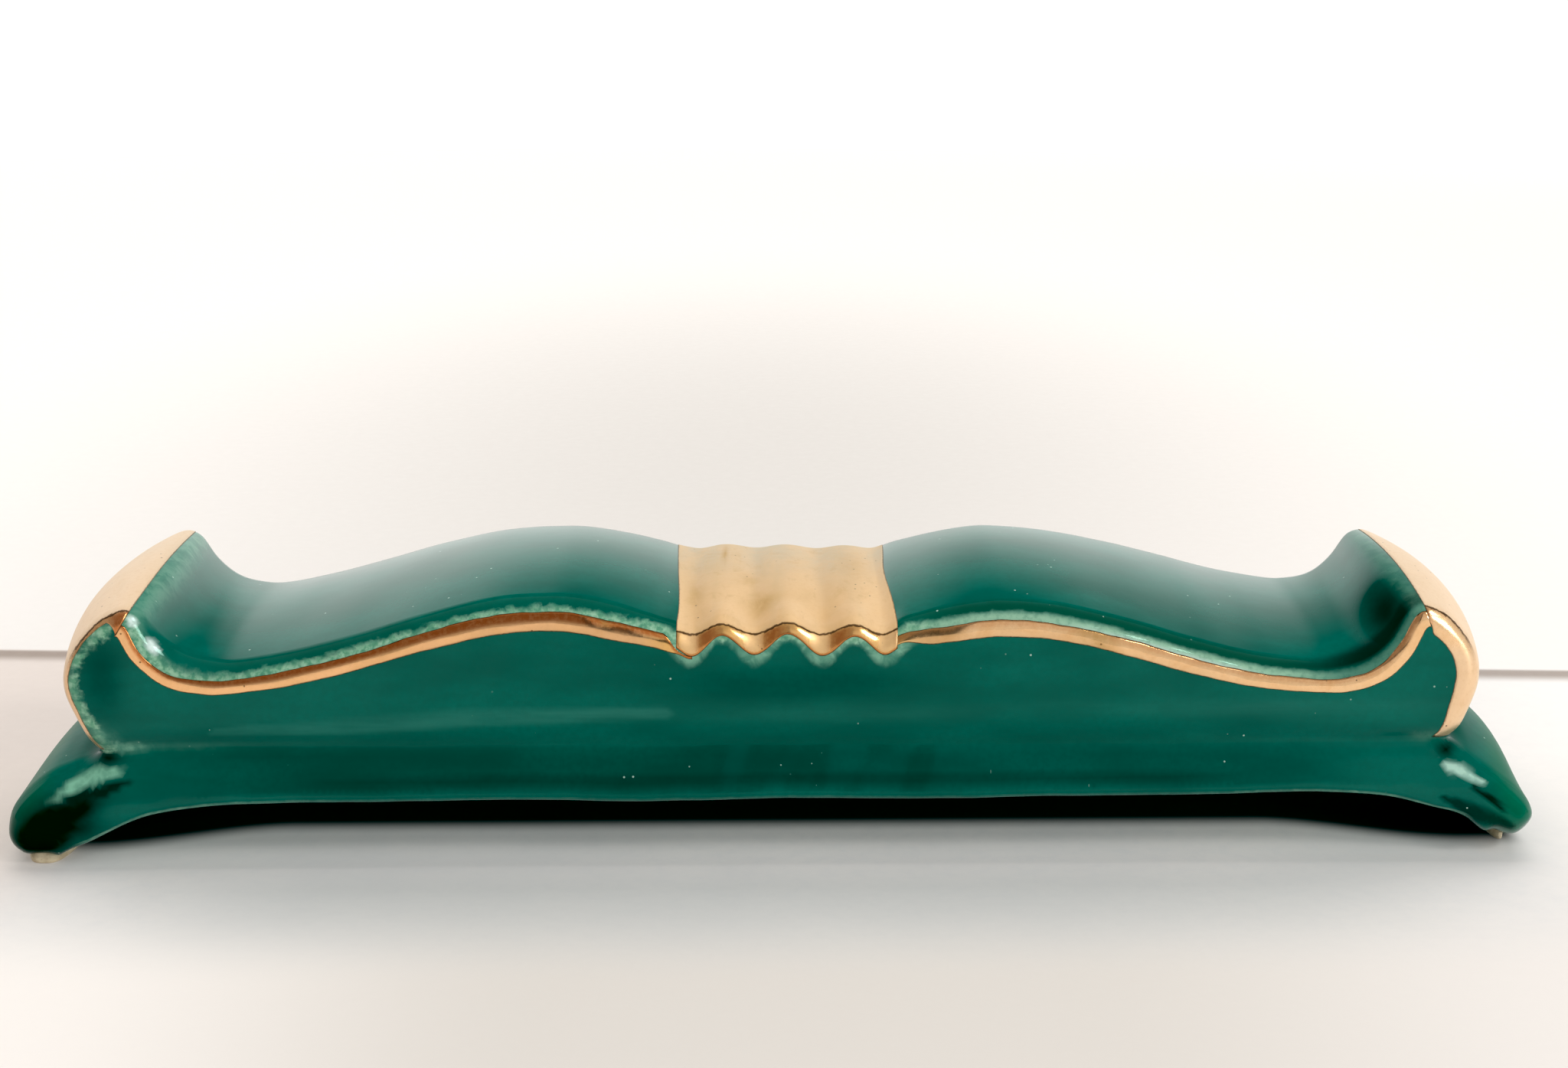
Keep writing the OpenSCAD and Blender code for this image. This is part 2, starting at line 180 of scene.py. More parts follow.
def build_outline():
    right, left = side(1), [r[::-1] for r in side(-1)[::-1]]
    runs = [top_run()] + right + [arch_run()] + left
    names = ["junction_r", "tip_r", "notch_r", "toe_r", "arch_r", "arch_l", "toe_l", "notch_l", "tip_l", "junction_l"]
    pts, marks = [], []
    for r in runs:
        pts.append(r[:-1])
        marks.append(sum(len(p) for p in pts))
    A = np.concatenate(pts)
    seg = np.hypot(*(np.roll(A[:, :2], -1, 0) - A[:, :2]).T)
    cum = np.concatenate([[0], np.cumsum(seg)])
    total = cum[-1]
    where = {n: cum[m] for n, m in zip(names, marks)}
    M = int(round(total / 0.05))
    s = np.arange(M) * total / M
    B = np.column_stack([np.interp(s, cum, np.append(A[:, c], A[0, c])) for c in range(A.shape[1])])
    ds = total / M

    def blur(X, sigma):
        f = np.fft.rfftfreq(M, d=ds)
        return np.fft.irfft(np.fft.rfft(X, axis=0) * np.exp(-2 * (math.pi * f * sigma) ** 2)[:, None], n=M, axis=0)

    for keys, sigma in ((("junction_r", "junction_l"), 0.8), (("tip_r", "tip_l"), 0.32), (("notch_r", "notch_l"), 0.32),
                        (("toe_r", "toe_l"), 0.55), (("arch_r", "arch_l"), 1.3)):
        soft = blur(B[:, :2], sigma)
        w = np.zeros(M)
        for k in keys:
            d = np.abs((s - where[k] + total / 2) % total - total / 2)
            w = np.maximum(w, smooth((3.6 * sigma - d) / (2.1 * sigma)))
        B[:, :2] = lerp(B[:, :2], soft, w[:, None])
    B[:, :2] = blur(B[:, :2], 0.12)
    B[:, 2:4] = blur(B[:, 2:4], 0.25)
    B[:, 4:] = blur(B[:, 4:], 0.35)
    return B, s, total, where


OUT, OUT_S, TOTAL, AT = build_outline()
T = np.roll(OUT[:, :2], -1, 0) - np.roll(OUT[:, :2], 1, 0)
NRM = np.column_stack([-T[:, 1], T[:, 0]]) / np.hypot(*T.T)[:, None]


def station(s):
    """Interpolated outline columns and outward direction at arc lengths s."""
    s = np.mod(s, TOTAL)
    i = s / TOTAL * len(OUT)
    a = np.floor(i).astype(int) % len(OUT)
    b = (a + 1) % len(OUT)
    t = (i - np.floor(i))[..., None]
    o = OUT[a] * (1 - t) + OUT[b] * t
    n = NRM[a] * (1 - t) + NRM[b] * t
    return o, n / np.linalg.norm(n, axis=-1, keepdims=True)


def s_of_x(x, top=True):
    """Arc length of the top (or arch) point at x."""
    lo, hi = (0.0, AT["junction_r"]) if top else (AT["arch_r"], AT["arch_l"])
    s = np.linspace(lo, hi, 6000)
    X = station(s)[0][:, 0]
    return float(np.interp(x, X, s)) if top else float(np.interp(-x, -X, s))


SWELL = (TOP_D - WAIST_D) / 2 + LEAN * (14.9 - NZ)


ZT = np.arange(-3.0, 22.0, 0.02)


def depth_table(w, w2, sigma):
    zc = NZ + 0.1
    up = WAIST_D / 2 + SWELL * (1 - np.exp(-np.maximum(ZT - zc, 0) / w)) - LEAN * (ZT - zc)
    low = WAIST_D / 2 + (BASE_D - WAIST_D) / 2 * np.minimum(1, (1 - np.exp(-np.maximum(zc - ZT, 0) / w2)) / (1 - np.exp(-3.4 / w2)))
    k = np.arange(-150, 151) * 0.02
    g = np.exp(-0.5 * (k / sigma) ** 2)
    return np.convolve(np.pad(np.where(ZT > zc, up, low), 150, mode="edge"), g / g.sum(), mode="valid")


MID_DEPTH, END_DEPTH = depth_table(0.85, 2.2, 0.60), depth_table(0.5, 1.6, 0.30)


def half_depth(x, z):
    """Half of the depth at a place on the outline's plane: a soft groove all along, crisper at the ends."""
    e = smooth((np.abs(x) - 26) / 14)
    return lerp(np.interp(z, ZT, MID_DEPTH), np.interp(z, ZT, END_DEPTH), e)


# how far the pressed and fired piece strays from its even form, mm up, at the front rim, the back rim and the lower edge
FRONT_RIM = [(-44, -0.2), (-41, -0.42), (-39, -0.42), (-37, -0.30), (-33, -0.24), (-29, -0.26), (-25, -0.20), (-21, -0.07), (-17, 0.10), (-12, 0.08),
             (-8, -0.05), (0, 0.0), (7, -0.12), (12, -0.28), (16, -0.32), (20, -0.55), (24, -0.68), (29, -0.70), (32, -0.52),
             (35, -0.34), (39, -0.28), (42, -0.1), (44, 0.0)]
BACK_RIM = [(-44, 0.0), (-41, -0.1), (-37, -0.1), (-33, 0.05), (-29, 0.25), (-25, 0.36), (-18, 0.32), (-9, 0.27), (0, 0.2), (9, 0.22),
            (14, 0.33), (20, 0.30), (26, 0.42), (31, 0.36), (34, 0.36), (37, -0.05), (41, -0.1), (44, 0.0)]
LOW_EDGE = [(-47, 0.05), (-46, 0.16), (-45.2, 0.28), (-44.5, 0.42), (-43.9, 0.0), (-43.3, -0.50), (-42.6, -0.74), (-41.8, -0.72), (-40.4, -0.62), (-38.7, -0.45), (-37, -0.42),
            (-34, -0.34), (-30, -0.36), (-26, -0.36), (-18, -0.38), (-9, -0.58), (0, -0.50), (8, -0.50), (12, -0.45), (16, -0.36),
            (20, -0.28), (27, -0.14), (33, 0.12), (38, 0.25), (40, 0.28), (41.2, 0.48), (42.1, 0.66), (43.1, 0.98), (44.2, 0.95),
            (45.0, 0.55), (46, 0.02), (47, 0.0)]


def knots(K, x, soft=1.2):
    K = np.asarray(K, float)
    g = np.arange(K[0, 0], K[-1, 0] + 0.01, 0.25)
    v = np.interp(g, K[:, 0], K[:, 1])
    k = np.exp(-0.5 * (np.arange(-16, 17) * 0.25 / soft) ** 2)
    v = np.convolve(np.pad(v, 16, mode="edge"), k / k.sum(), mode="valid")
    return np.interp(x, g, v)


def wobble(p):
    """Unevenness of the hand-made piece, the same for every layer."""
    x, y, z = p[..., 0], p[..., 1], p[..., 2]
    f = np.minimum(1, np.maximum(0, z) / 3.0)
    dx = 0.030 * np.sin(0.37 * x + 0.61 * z + 1.0) + 0.012 * np.sin(0.9 * x - 0.5 * y + 2.0)
    dy = 0.035 * np.sin(0.31 * x + 0.8) + 0.022 * np.sin(0.83 * x + 0.7 * z + 4.0) + 0.012 * np.sin(1.9 * x - 1.1 * z)
    dz = 0.022 * np.sin(0.41 * x + 0.12 * y + 2.4) + 0.004 * np.sin(1.13 * x - 0.3 * y)
    t = np.clip((y + 9.0) / 18.0, 0, 1)
    up = step(8.6, 12.6, z) * lerp(knots(FRONT_RIM, x), knots(BACK_RIM, x), t)
    low = lerp(1 - step(4.8, 7.4, z), 1 - step(2.4, 6.0, z), step(37, 42, x)) * knots(LOW_EDGE, x, 0.6)
    # the ribs run out towards the back; the right foot's lower front corner is rounded up
    up = up - 0.66 * ribs(x) * step(-7.8, -5.0, y) * step(9.5, 12.5, z)
    low = low + 0.95 * step(43.4, 45.4, x) * step(5.9, 9.8, -y) * (1 - step(1.0, 4.2, z))
    low = np.where(np.abs(x) > 42.0, np.maximum(low, np.minimum(0.0, SOLE - z)), low)
    nl = np.exp(-((x + 41.3) / 2.0) ** 2 - ((z - 7.4) / 1.7) ** 2)
    nr = np.exp(-((x - 41.3) / 2.0) ** 2 - ((z - 7.6) / 1.7) ** 2)
    d = f[..., None] * np.stack([dx, dy, dz], -1)
    d[..., 0] += 0.72 * nr - 0.55 * nl
    d[..., 2] += up + low - 0.60 * nl
    return p + d


def surf(s, w, off=0.0):
    """Surface point. s is arc length on the outline. w runs 0..1 round the front edge, 1..2 over the top, 2..3 round the
    back edge; below 0 (above 3) it is minus the distance in mm down the front (back) face. off is depth under the glaze."""
    s, w, off = np.broadcast_arrays(np.asarray(s, float), np.asarray(w, float), np.asarray(off, float))
    back = w > 1.5
    w = np.where(back, 3 - w, w)
    o, n = station(s)
    P0, K = o[..., 0:2], o[..., 2:4]
    r = np.maximum(0.15, np.minimum(o[..., 4], 0.72 * np.linalg.norm(K - P0, axis=-1)) - off)
    P = P0 - n * off[..., None]
    D = (K - P) / np.linalg.norm(K - P, axis=-1, keepdims=True)
    R = P + D * r[..., None]
    th = np.arctan(2 * o[..., 6] / (half_depth(P[..., 0], P[..., 1]) - off))
    # face
    Qf = R + (K - R) / np.linalg.norm(K - R, axis=-1, keepdims=True) * np.maximum(0, -w)[..., None]
    yf = half_depth(Qf[..., 0], Qf[..., 1]) - off
    # edge
    a = th + (math.pi / 2 - th) * (1 - np.clip(w, 0, 1))
    Qe = P + D * (r * (1 - np.cos(a)))[..., None]
    ye = half_depth(Qe[..., 0], Qe[..., 1]) - off - r * (1 - np.sin(a))
    # top, ends, underside
    Qt = P + D * (r * (1 - np.cos(th)))[..., None]
    y0 = half_depth(Qt[..., 0], Qt[..., 1]) - off - r * (1 - np.sin(th))
    v = 1 - 2 * (np.clip(w, 1, 2) - 1)
    q = 1 - v * v
    Qt = Qt + n * (o[..., 6] * q)[..., None]
    xt, zt, yt = Qt[..., 0], Qt[..., 1] + DISH * o[..., 5] * q, y0 * v
    x = np.where(w < 0, Qf[..., 0], np.where(w <= 1, Qe[..., 0], xt))
    z = np.where(w < 0, Qf[..., 1], np.where(w <= 1, Qe[..., 1], zt))
    y = -np.where(w < 0, yf, np.where(w <= 1, ye, yt))
    return np.stack([x, np.where(back, -y, y), z], -1)


def edge_len(s):
    """Length in mm of the rounded edge's arc at s."""
    o, _ = station(s)
    r = np.maximum(0.15, np.minimum(o[..., 4], 0.72 * np.linalg.norm(o[..., 2:4] - o[..., 0:2], axis=-1)))
    th = np.arctan(2 * o[..., 6] / half_depth(o[..., 0], o[..., 1]))
    return r * (math.pi / 2 - th)


def w_of_q(s, q):
    """w for a signed distance q in mm from the line where face and rounded edge meet, up over the edge."""
    return np.where(q < 0, q, np.minimum(1.0, q / edge_len(s)) + np.maximum(0, q - edge_len(s)) / (2 * 8.6))


# ---------------------------------------------------------------- meshes
def new_object(name, verts, faces, attrs=None, flat=()):
    """Closed piece from millimetre points, faces turned outward; faces listed in flat keep hard shading."""
    me = bpy.data.meshes.new(name)
    me.from_pydata([tuple(map(float, v)) for v in np.asarray(verts) * MM], [], [tuple(map(int, f)) for f in faces])
    me.update()
    for k, val in (attrs or {}).items():
        a = me.attributes.new(k, "FLOAT", "POINT")
        a.data.foreach_set("value", np.asarray(val, np.float32))
    shade = np.ones(len(me.polygons), bool)
    shade[list(flat)] = False
    me.polygons.foreach_set("use_smooth", shade.tolist())
    bm = bmesh.new()
    bm.from_mesh(me)
    bmesh.ops.recalc_face_normals(bm, faces=bm.faces)
    bm.to_mesh(me)
    bm.free()
    ob = bpy.data.objects.new(name, me)
    bpy.context.scene.collection.objects.link(ob)
    return ob


def inside(poly, pts):
    """Even-odd test of points against a closed polygon."""
    c = np.zeros(len(pts), bool)
    x, y = pts[:, 0], pts[:, 1]
    a, b = poly, np.roll(poly, -1, 0)
    for (x1, y1), (x2, y2) in zip(a, b):
        if y1 == y2:
            continue
        m = (y1 > y) != (y2 > y)
        c[m] ^= x[m] < (x2 - x1) * (y[m] - y1) / (y2 - y1) + x1
    return c


def near(poly, pts, dist):
    """Mask of points closer than dist to a polygon's own points."""
    out = np.zeros(len(pts), bool)
    for k in range(0, len(pts), 500):
        d = pts[k:k + 500, None, :] - poly[None, :, :]
        out[k:k + 500] = (d[..., 0] ** 2 + d[..., 1] ** 2).min(1) < dist**2
    return out


def face_fill(loop, dx, dz, gap):
    """Triangles that fill the XZ loop, with inner points on a grid. Returns the added points and the triangles."""
    lo, hi = loop.min(0), loop.max(0)
    gx = np.arange(lo[0] + dx / 2, hi[0], dx)
    gz = np.arange(lo[1] + dz / 2, hi[1], dz)
    X, Z = np.meshgrid(gx, gz)
    X = X + np.where((np.arange(len(gz)) % 2)[:, None] == 1, dx / 2, 0)
    pts = np.column_stack([X.ravel(), Z.ravel()])
    pts = pts[inside(loop, pts)]
    pts = pts[~near(loop, pts, gap)]
    n = len(loop)
    allp = [Vector((float(a), float(b))) for a, b in np.concatenate([loop, pts])]
    edges = [(i, (i + 1) % n) for i in range(n)]
    vo, eo, fo, ov, oe, of_ = delaunay_2d_cdt(allp, edges, [list(range(n))], 1, 1e-5)
    if len(vo) != len(allp):
        print("face_fill: points in", len(allp), "out", len(vo))
    back = [min(o) if o else -1 for o in ov]
    tri = [tuple(back[i] for i in f) for f in fo]
    return pts, tri


def skin(N, nr, nt, off, dx, dz):
    """Closed skin at a depth under the glaze. Returns verts, faces (outward), station/row index arrays and s, w per vertex."""
    s = np.arange(N) * TOTAL / N
    w = np.concatenate([np.linspace(0, 1, nr + 1), 1 + (1 - np.cos(np.linspace(0, math.pi, nt + 1)[1:-1])) / 2 * 1.0,
                        np.linspace(2, 3, nr + 1)])
    rows = len(w)
    S, W = np.meshgrid(s, w)
    V = surf(S, W, off).reshape(-1, 3)
    faces = []
    for j in range(rows - 1):
        a = j * N + np.arange(N)
        b = j * N + (np.arange(N) + 1) % N
        faces.append(np.column_stack([a, b, b + N, a + N]))
    faces = [tuple(f) for f in np.concatenate(faces)]
    loop = V[:N][:, [0, 2]]
    pts, tri = face_fill(loop, dx, dz, 0.6 * dz)
    y = half_depth(pts[:, 0], pts[:, 1]) - off
    fn = len(V)
    front = np.column_stack([pts[:, 0], -y, pts[:, 1]])
    rear = np.column_stack([pts[:, 0], y, pts[:, 1]])
    V = np.concatenate([V, front, rear])
    last = (rows - 1) * N

    def orient(t):
        p = [(loop[i] if i < N else pts[i - N]) for i in t]
        area = (p[1][0] - p[0][0]) * (p[2][1] - p[0][1]) - (p[2][0] - p[0][0]) * (p[1][1] - p[0][1])
        return t if area > 0 else (t[0], t[2], t[1])

    for t in tri:
        t = orient(t)
        faces.append(tuple(i if i < N else fn + i - N for i in t))
        faces.append(tuple((last + i) if i < N else fn + len(pts) + i - N for i in reversed(t)))
    sv = np.concatenate([S.ravel(), np.zeros(2 * len(pts))])
    wv = np.concatenate([W.ravel(), np.full(len(pts), -9.0), np.full(len(pts), 12.0)])
    return V, faces, sv, wv, rows, w


def signed_volume(V, F):
    vol = 0.0
    for f in F:
        for k in range(1, len(f) - 1):
            vol += np.dot(V[f[0]], np.cross(V[f[k]], V[f[k + 1]]))
    return vol / 6


# ---------------------------------------------------------------- materials
def nodes_of(name):
    m = bpy.data.materials.new(name)
    m.use_nodes = True
    nt = m.node_tree
    nt.nodes.clear()
    return m, nt


class Tree:
    """Small helper for building node trees."""

    def __init__(self, nt):
        self.nt = nt

    def add(self, kind, **props):
        n = self.nt.nodes.new(kind)
        for k, v in props.items():
            setattr(n, k, v)
        return n

    def link(self, a, b):
        self.nt.links.new(a, b)

    def math(self, op, a, b=None, clamp=False):
        n = self.add("ShaderNodeMath", operation=op, use_clamp=clamp)
        for k, v in enumerate((a, b)):
            if v is None:
                continue
            if isinstance(v, (int, float)):
                n.inputs[k].default_value = v
            else:
                self.link(v, n.inputs[k])
        return n.outputs[0]

    def attr(self, name):
        return self.add("ShaderNodeAttribute", attribute_name=name).outputs["Fac"]

    def coords(self):
        """Object coordinates in millimetres."""
        tc = self.add("ShaderNodeTexCoord")
        v = self.add("ShaderNodeVectorMath", operation="SCALE")
        self.link(tc.outputs["Object"], v.inputs[0])
        v.inputs["Scale"].default_value = 1000.0
        return v.outputs[0]

    def scaled(self, vec, sx, sy, sz, offset=(0, 0, 0)):
        m = self.add("ShaderNodeMapping")
        m.inputs["Scale"].default_value = (sx, sy, sz)
        m.inputs["Location"].default_value = offset
        self.link(vec, m.inputs["Vector"])
        return m.outputs[0]

    def noise(self, vec, scale, detail=2.0, rough=0.5, dist=0.0):
        n = self.add("ShaderNodeTexNoise")
        n.inputs["Scale"].default_value = scale
        n.inputs["Detail"].default_value = detail
        n.inputs["Roughness"].default_value = rough
        n.inputs["Distortion"].default_value = dist
        self.link(vec, n.inputs["Vector"])
        return n.outputs["Fac"]

    def voronoi(self, vec, scale, feature="F1", rand=1.0):
        n = self.add("ShaderNodeTexVoronoi", feature=feature)
        n.inputs["Scale"].default_value = scale
        n.inputs["Randomness"].default_value = rand
        self.link(vec, n.inputs["Vector"])
        return n

    def ramp(self, fac, lo, hi, out_lo=0.0, out_hi=1.0, kind="SMOOTHSTEP"):
        n = self.add("ShaderNodeMapRange", interpolation_type=kind)
        n.inputs["From Min"].default_value = lo
        n.inputs["From Max"].default_value = hi
        n.inputs["To Min"].default_value = out_lo
        n.inputs["To Max"].default_value = out_hi
        self.link(fac, n.inputs["Value"])
        return n.outputs["Result"]

    def mix(self, fac, a, b):
        n = self.add("ShaderNodeMix", data_type="RGBA")
        if isinstance(fac, (int, float)):
            n.inputs[0].default_value = fac
        else:
            self.link(fac, n.inputs[0])
        for k, v in ((6, a), (7, b)):
            if isinstance(v, tuple):
                n.inputs[k].default_value = (*v, 1.0)
            else:
                self.link(v, n.inputs[k])
        return n.outputs[2]

    def bump(self, height, strength, dist, normal=None):
        n = self.add("ShaderNodeBump")
        n.inputs["Strength"].default_value = strength
        n.inputs["Distance"].default_value = dist
        self.link(height, n.inputs["Height"])
        if normal is not None:
            self.link(normal, n.inputs["Normal"])
        return n.outputs[0]


def glaze_material():
    m, nt = nodes_of("glaze_teal")
    t = Tree(nt)
    out = t.add("ShaderNodeOutputMaterial")
    b = t.add("ShaderNodeBsdfPrincipled")
    t.link(b.outputs[0], out.inputs[0])
    co = t.coords()
    over = t.attr("over")
    # teal that drifts a little from place to place
    slow = t.noise(t.scaled(co, 0.10, 0.2, 0.35), 1.0, 3.0, 0.55)
    fine = t.noise(co, 2.6, 3.0, 0.6)
    teal = t.mix(t.ramp(slow, 0.3, 0.7), (0.0004, 0.084, 0.060), (0.0006, 0.120, 0.088))
    teal = t.mix(t.ramp(fine, 0.35, 0.7, 0.0, 0.35), teal, (0.0004, 0.080, 0.057))
    teal = t.mix(t.attr("toes"), teal, (0.0004, 0.125, 0.048))
    # where the glaze breaks over an edge: bands in mm over the rim, with a rippled border
    ripple = t.noise(co, 1.1, 3.0, 0.6, 0.5)
    fleck = t.noise(co, 2.4, 3.0, 0.6)
    calm = t.attr("calm")
    rough_w = t.math("ADD", t.ramp(ripple, 0.2, 0.8, -0.26, 0.26, "LINEAR"), t.ramp(fleck, 0.25, 0.75, -0.13, 0.13, "LINEAR"))
    wave = t.math("MULTIPLY", rough_w, t.ramp(calm, 0.0, 1.0, 1.0, 0.45, "LINEAR"))
    qn = t.math("ADD", over, wave)

    def band(q, a, b, c, d):
        return t.math("MULTIPLY", t.ramp(q, a, b), t.ramp(q, c, d, 1.0, 0.0), clamp=True)

    rim = t.math("MULTIPLY", band(qn, -0.15, 0.15, 0.84, 1.34), t.attr("rim"), clamp=True)
    edge = t.math("MULTIPLY", band(t.math("ADD", over, t.math("MULTIPLY", wave, 1.4)), -0.32, 0.22, 1.0, 1.3), t.attr("edge"), clamp=True)
    edge = t.math("MULTIPLY", edge, t.ramp(t.noise(t.scaled(co, 0.5, 0.5, 1.3), 1.0, 3.0, 0.6), 0.36, 0.58, 0.25, 1.0))
    low = t.math("MULTIPLY", t.ramp(t.math("ADD", over, t.math("MULTIPLY", wave, 0.08)), 0.20, 0.36), t.attr("low"), clamp=True)
    low = t.math("MULTIPLY", low, t.ramp(ripple, 0.3, 0.7, 0.75, 1.0))
    # under the saddle's gilding the pale bleed follows the ribs
    sep = t.add("ShaderNodeSeparateXYZ")
    t.link(co, sep.inputs[0])
    X = sep.outputs["X"]
    low = t.math("MULTIPLY", low, t.ramp(t.math("ABSOLUTE", X), 24.0, 37.0, 0.15, 0.62))
    ph = t.math("COSINE", t.math("MULTIPLY", t.math("SUBTRACT", X, RIB_SHIFT), 2 * math.pi / RIB_PITCH))
    lo_at = t.ramp(ph, -1.0, 1.0, -0.22, 0.28, "LINEAR")
    deep = t.ramp(ph, -1.0, 1.0, 0.80, 0.55, "LINEAR")
    down = t.math("DIVIDE", t.math("SUBTRACT", t.math("ADD", over, t.math("MULTIPLY", wave, 0.35)), lo_at), deep)
    halo = t.math("MULTIPLY", t.ramp(down, -1.15, -0.25), t.math("MULTIPLY", t.ramp(X, -7.6, -5.6), t.ramp(X, 7.6, 10.0, 1.0, 0.0)))
    halo = t.math("MULTIPLY", t.math("MULTIPLY", halo, t.ramp(over, 0.6, 1.0, 1.0, 0.0)), t.ramp(over, -1.9, -1.2))
    halo = t.math("MULTIPLY", halo, t.math("MULTIPLY", t.ramp(ripple, 0.3, 0.65, 0.72, 1.0), t.math("SUBTRACT", 1.0, t.attr("low"))), clamp=True)
    bleed = t.math("MULTIPLY", t.attr("bleed"), t.ramp(ripple, 0.25, 0.6, 0.65, 0.95))
    soft = t.math("MAXIMUM", bleed, t.math("MAXIMUM", low, halo), clamp=True)
    mask = t.math("MAXIMUM", t.math("MULTIPLY", rim, t.ramp(fleck, 0.25, 0.55, 0.62, 1.0)), edge, clamp=True)
    # painted dark reflection: a darker band on the rounded edge just above the pale rim
    under = t.math("MULTIPLY", band(qn, 1.1, 1.35, 1.6, 2.4), t.attr("rim"), clamp=True)
    teal = t.mix(t.math("MULTIPLY", under, t.ramp(calm, 0.0, 1.0, 0.38, 0.8, "LINEAR")), teal, (0.0003, 0.045, 0.022))
    # painted sheen: a pale band across the front face above the groove
    teal = t.mix(t.math("MULTIPLY", t.attr("painted_sheen"), t.ramp(t.noise(t.scaled(co, 0.12, 0.3, 0.9), 1.0, 3.0, 0.55), 0.3, 0.7, 0.35, 0.9)), teal, (0.030, 0.19, 0.145))
    # pooled glaze, painted shade and painted dark reflections, mixed towards near black
    teal = t.mix(t.math("MULTIPLY", t.attr("pool_and_shade"), 0.97, clamp=True), teal, (0.0002, 0.006, 0.002))
    pale = t.mix(t.ramp(fleck, 0.38, 0.66), (0.130, 0.34, 0.21), (0.30, 0.52, 0.36))
    # on the right the rim is paler and smoother: broken glaze with a painted highlight
    pale = t.mix(calm, pale, (0.27, 0.47, 0.33))
    col = t.mix(soft, teal, t.mix(t.ramp(ripple, 0.35, 0.7), (0.110, 0.30, 0.21), (0.20, 0.42, 0.30)))
    col = t.mix(mask, col, pale)
    # pale streaks on the feet's upper front edges: broken glaze with a painted highlight
    st = t.math("MULTIPLY", t.attr("streak"), t.ramp(t.noise(t.scaled(co, 1.2, 1.2, 1.2), 1.0, 3.0, 0.6), 0.3, 0.6, 0.7, 1.0), clamp=True)
    col = t.mix(st, col, t.mix(calm, (0.22, 0.50, 0.35), (0.40, 0.62, 0.52)))
    # painted highlights: near-white spots on the left horn's rim and a pale streak along the right rim
    col = t.mix(t.math("MULTIPLY", t.attr("glint"), t.ramp(fleck, 0.2, 0.5, 0.6, 1.0), clamp=True), col, (0.72, 0.86, 0.82))
    # stray white specks and hair-fine upright scratches
    v = t.voronoi(t.scaled(co, 0.95, 0.95, 0.95), 1.0)
    gate = t.ramp(t.noise(co, 0.22, 2.0, 0.5), 0.54, 0.60)
    spot = t.math("MULTIPLY", t.ramp(v.outputs["Distance"], 0.04, 0.075, 1.0, 0.0), gate)
    v2 = t.voronoi(t.scaled(co, 0.36, 0.36, 0.085, (0.3, 0.2, 0.6)), 1.0)
    hair = t.math("MULTIPLY", t.ramp(v2.outputs["Distance"], 0.010, 0.022, 0.7, 0.0), t.ramp(t.noise(co, 0.16, 1.0, 0.5), 0.47, 0.53))
    col = t.mix(t.math("MULTIPLY", t.math("MAXIMUM", spot, hair), 0.7), col, (0.50, 0.70, 0.60))
    t.link(col, b.inputs["Base Color"])
    rough = t.ramp(t.noise(co, 1.1, 3.0, 0.6), 0.3, 0.75, 0.07, 0.12, "LINEAR")
    t.link(t.math("ADD", rough, t.math("MULTIPLY", t.attr("dull"), 0.28)), b.inputs["Roughness"])
    b.inputs["IOR"].default_value = 1.38
    flat = t.math("MAXIMUM", t.attr("pool_and_shade"), t.attr("dull"))
    t.link(t.ramp(flat, 0.1, 0.95, 0.5, 0.0, "LINEAR"), b.inputs["Specular IOR Level"])
    b.inputs["Specular Tint"].default_value = (0.57, 0.97, 0.84, 1.0)
    n1 = t.bump(t.noise(co, 0.5, 2.0, 0.5), 0.03, 0.00018)
    n2 = t.bump(t.noise(co, 3.2, 2.0, 0.5), 0.05, 0.00003, n1)
    t.link(n2, b.inputs["Normal"])
    return m


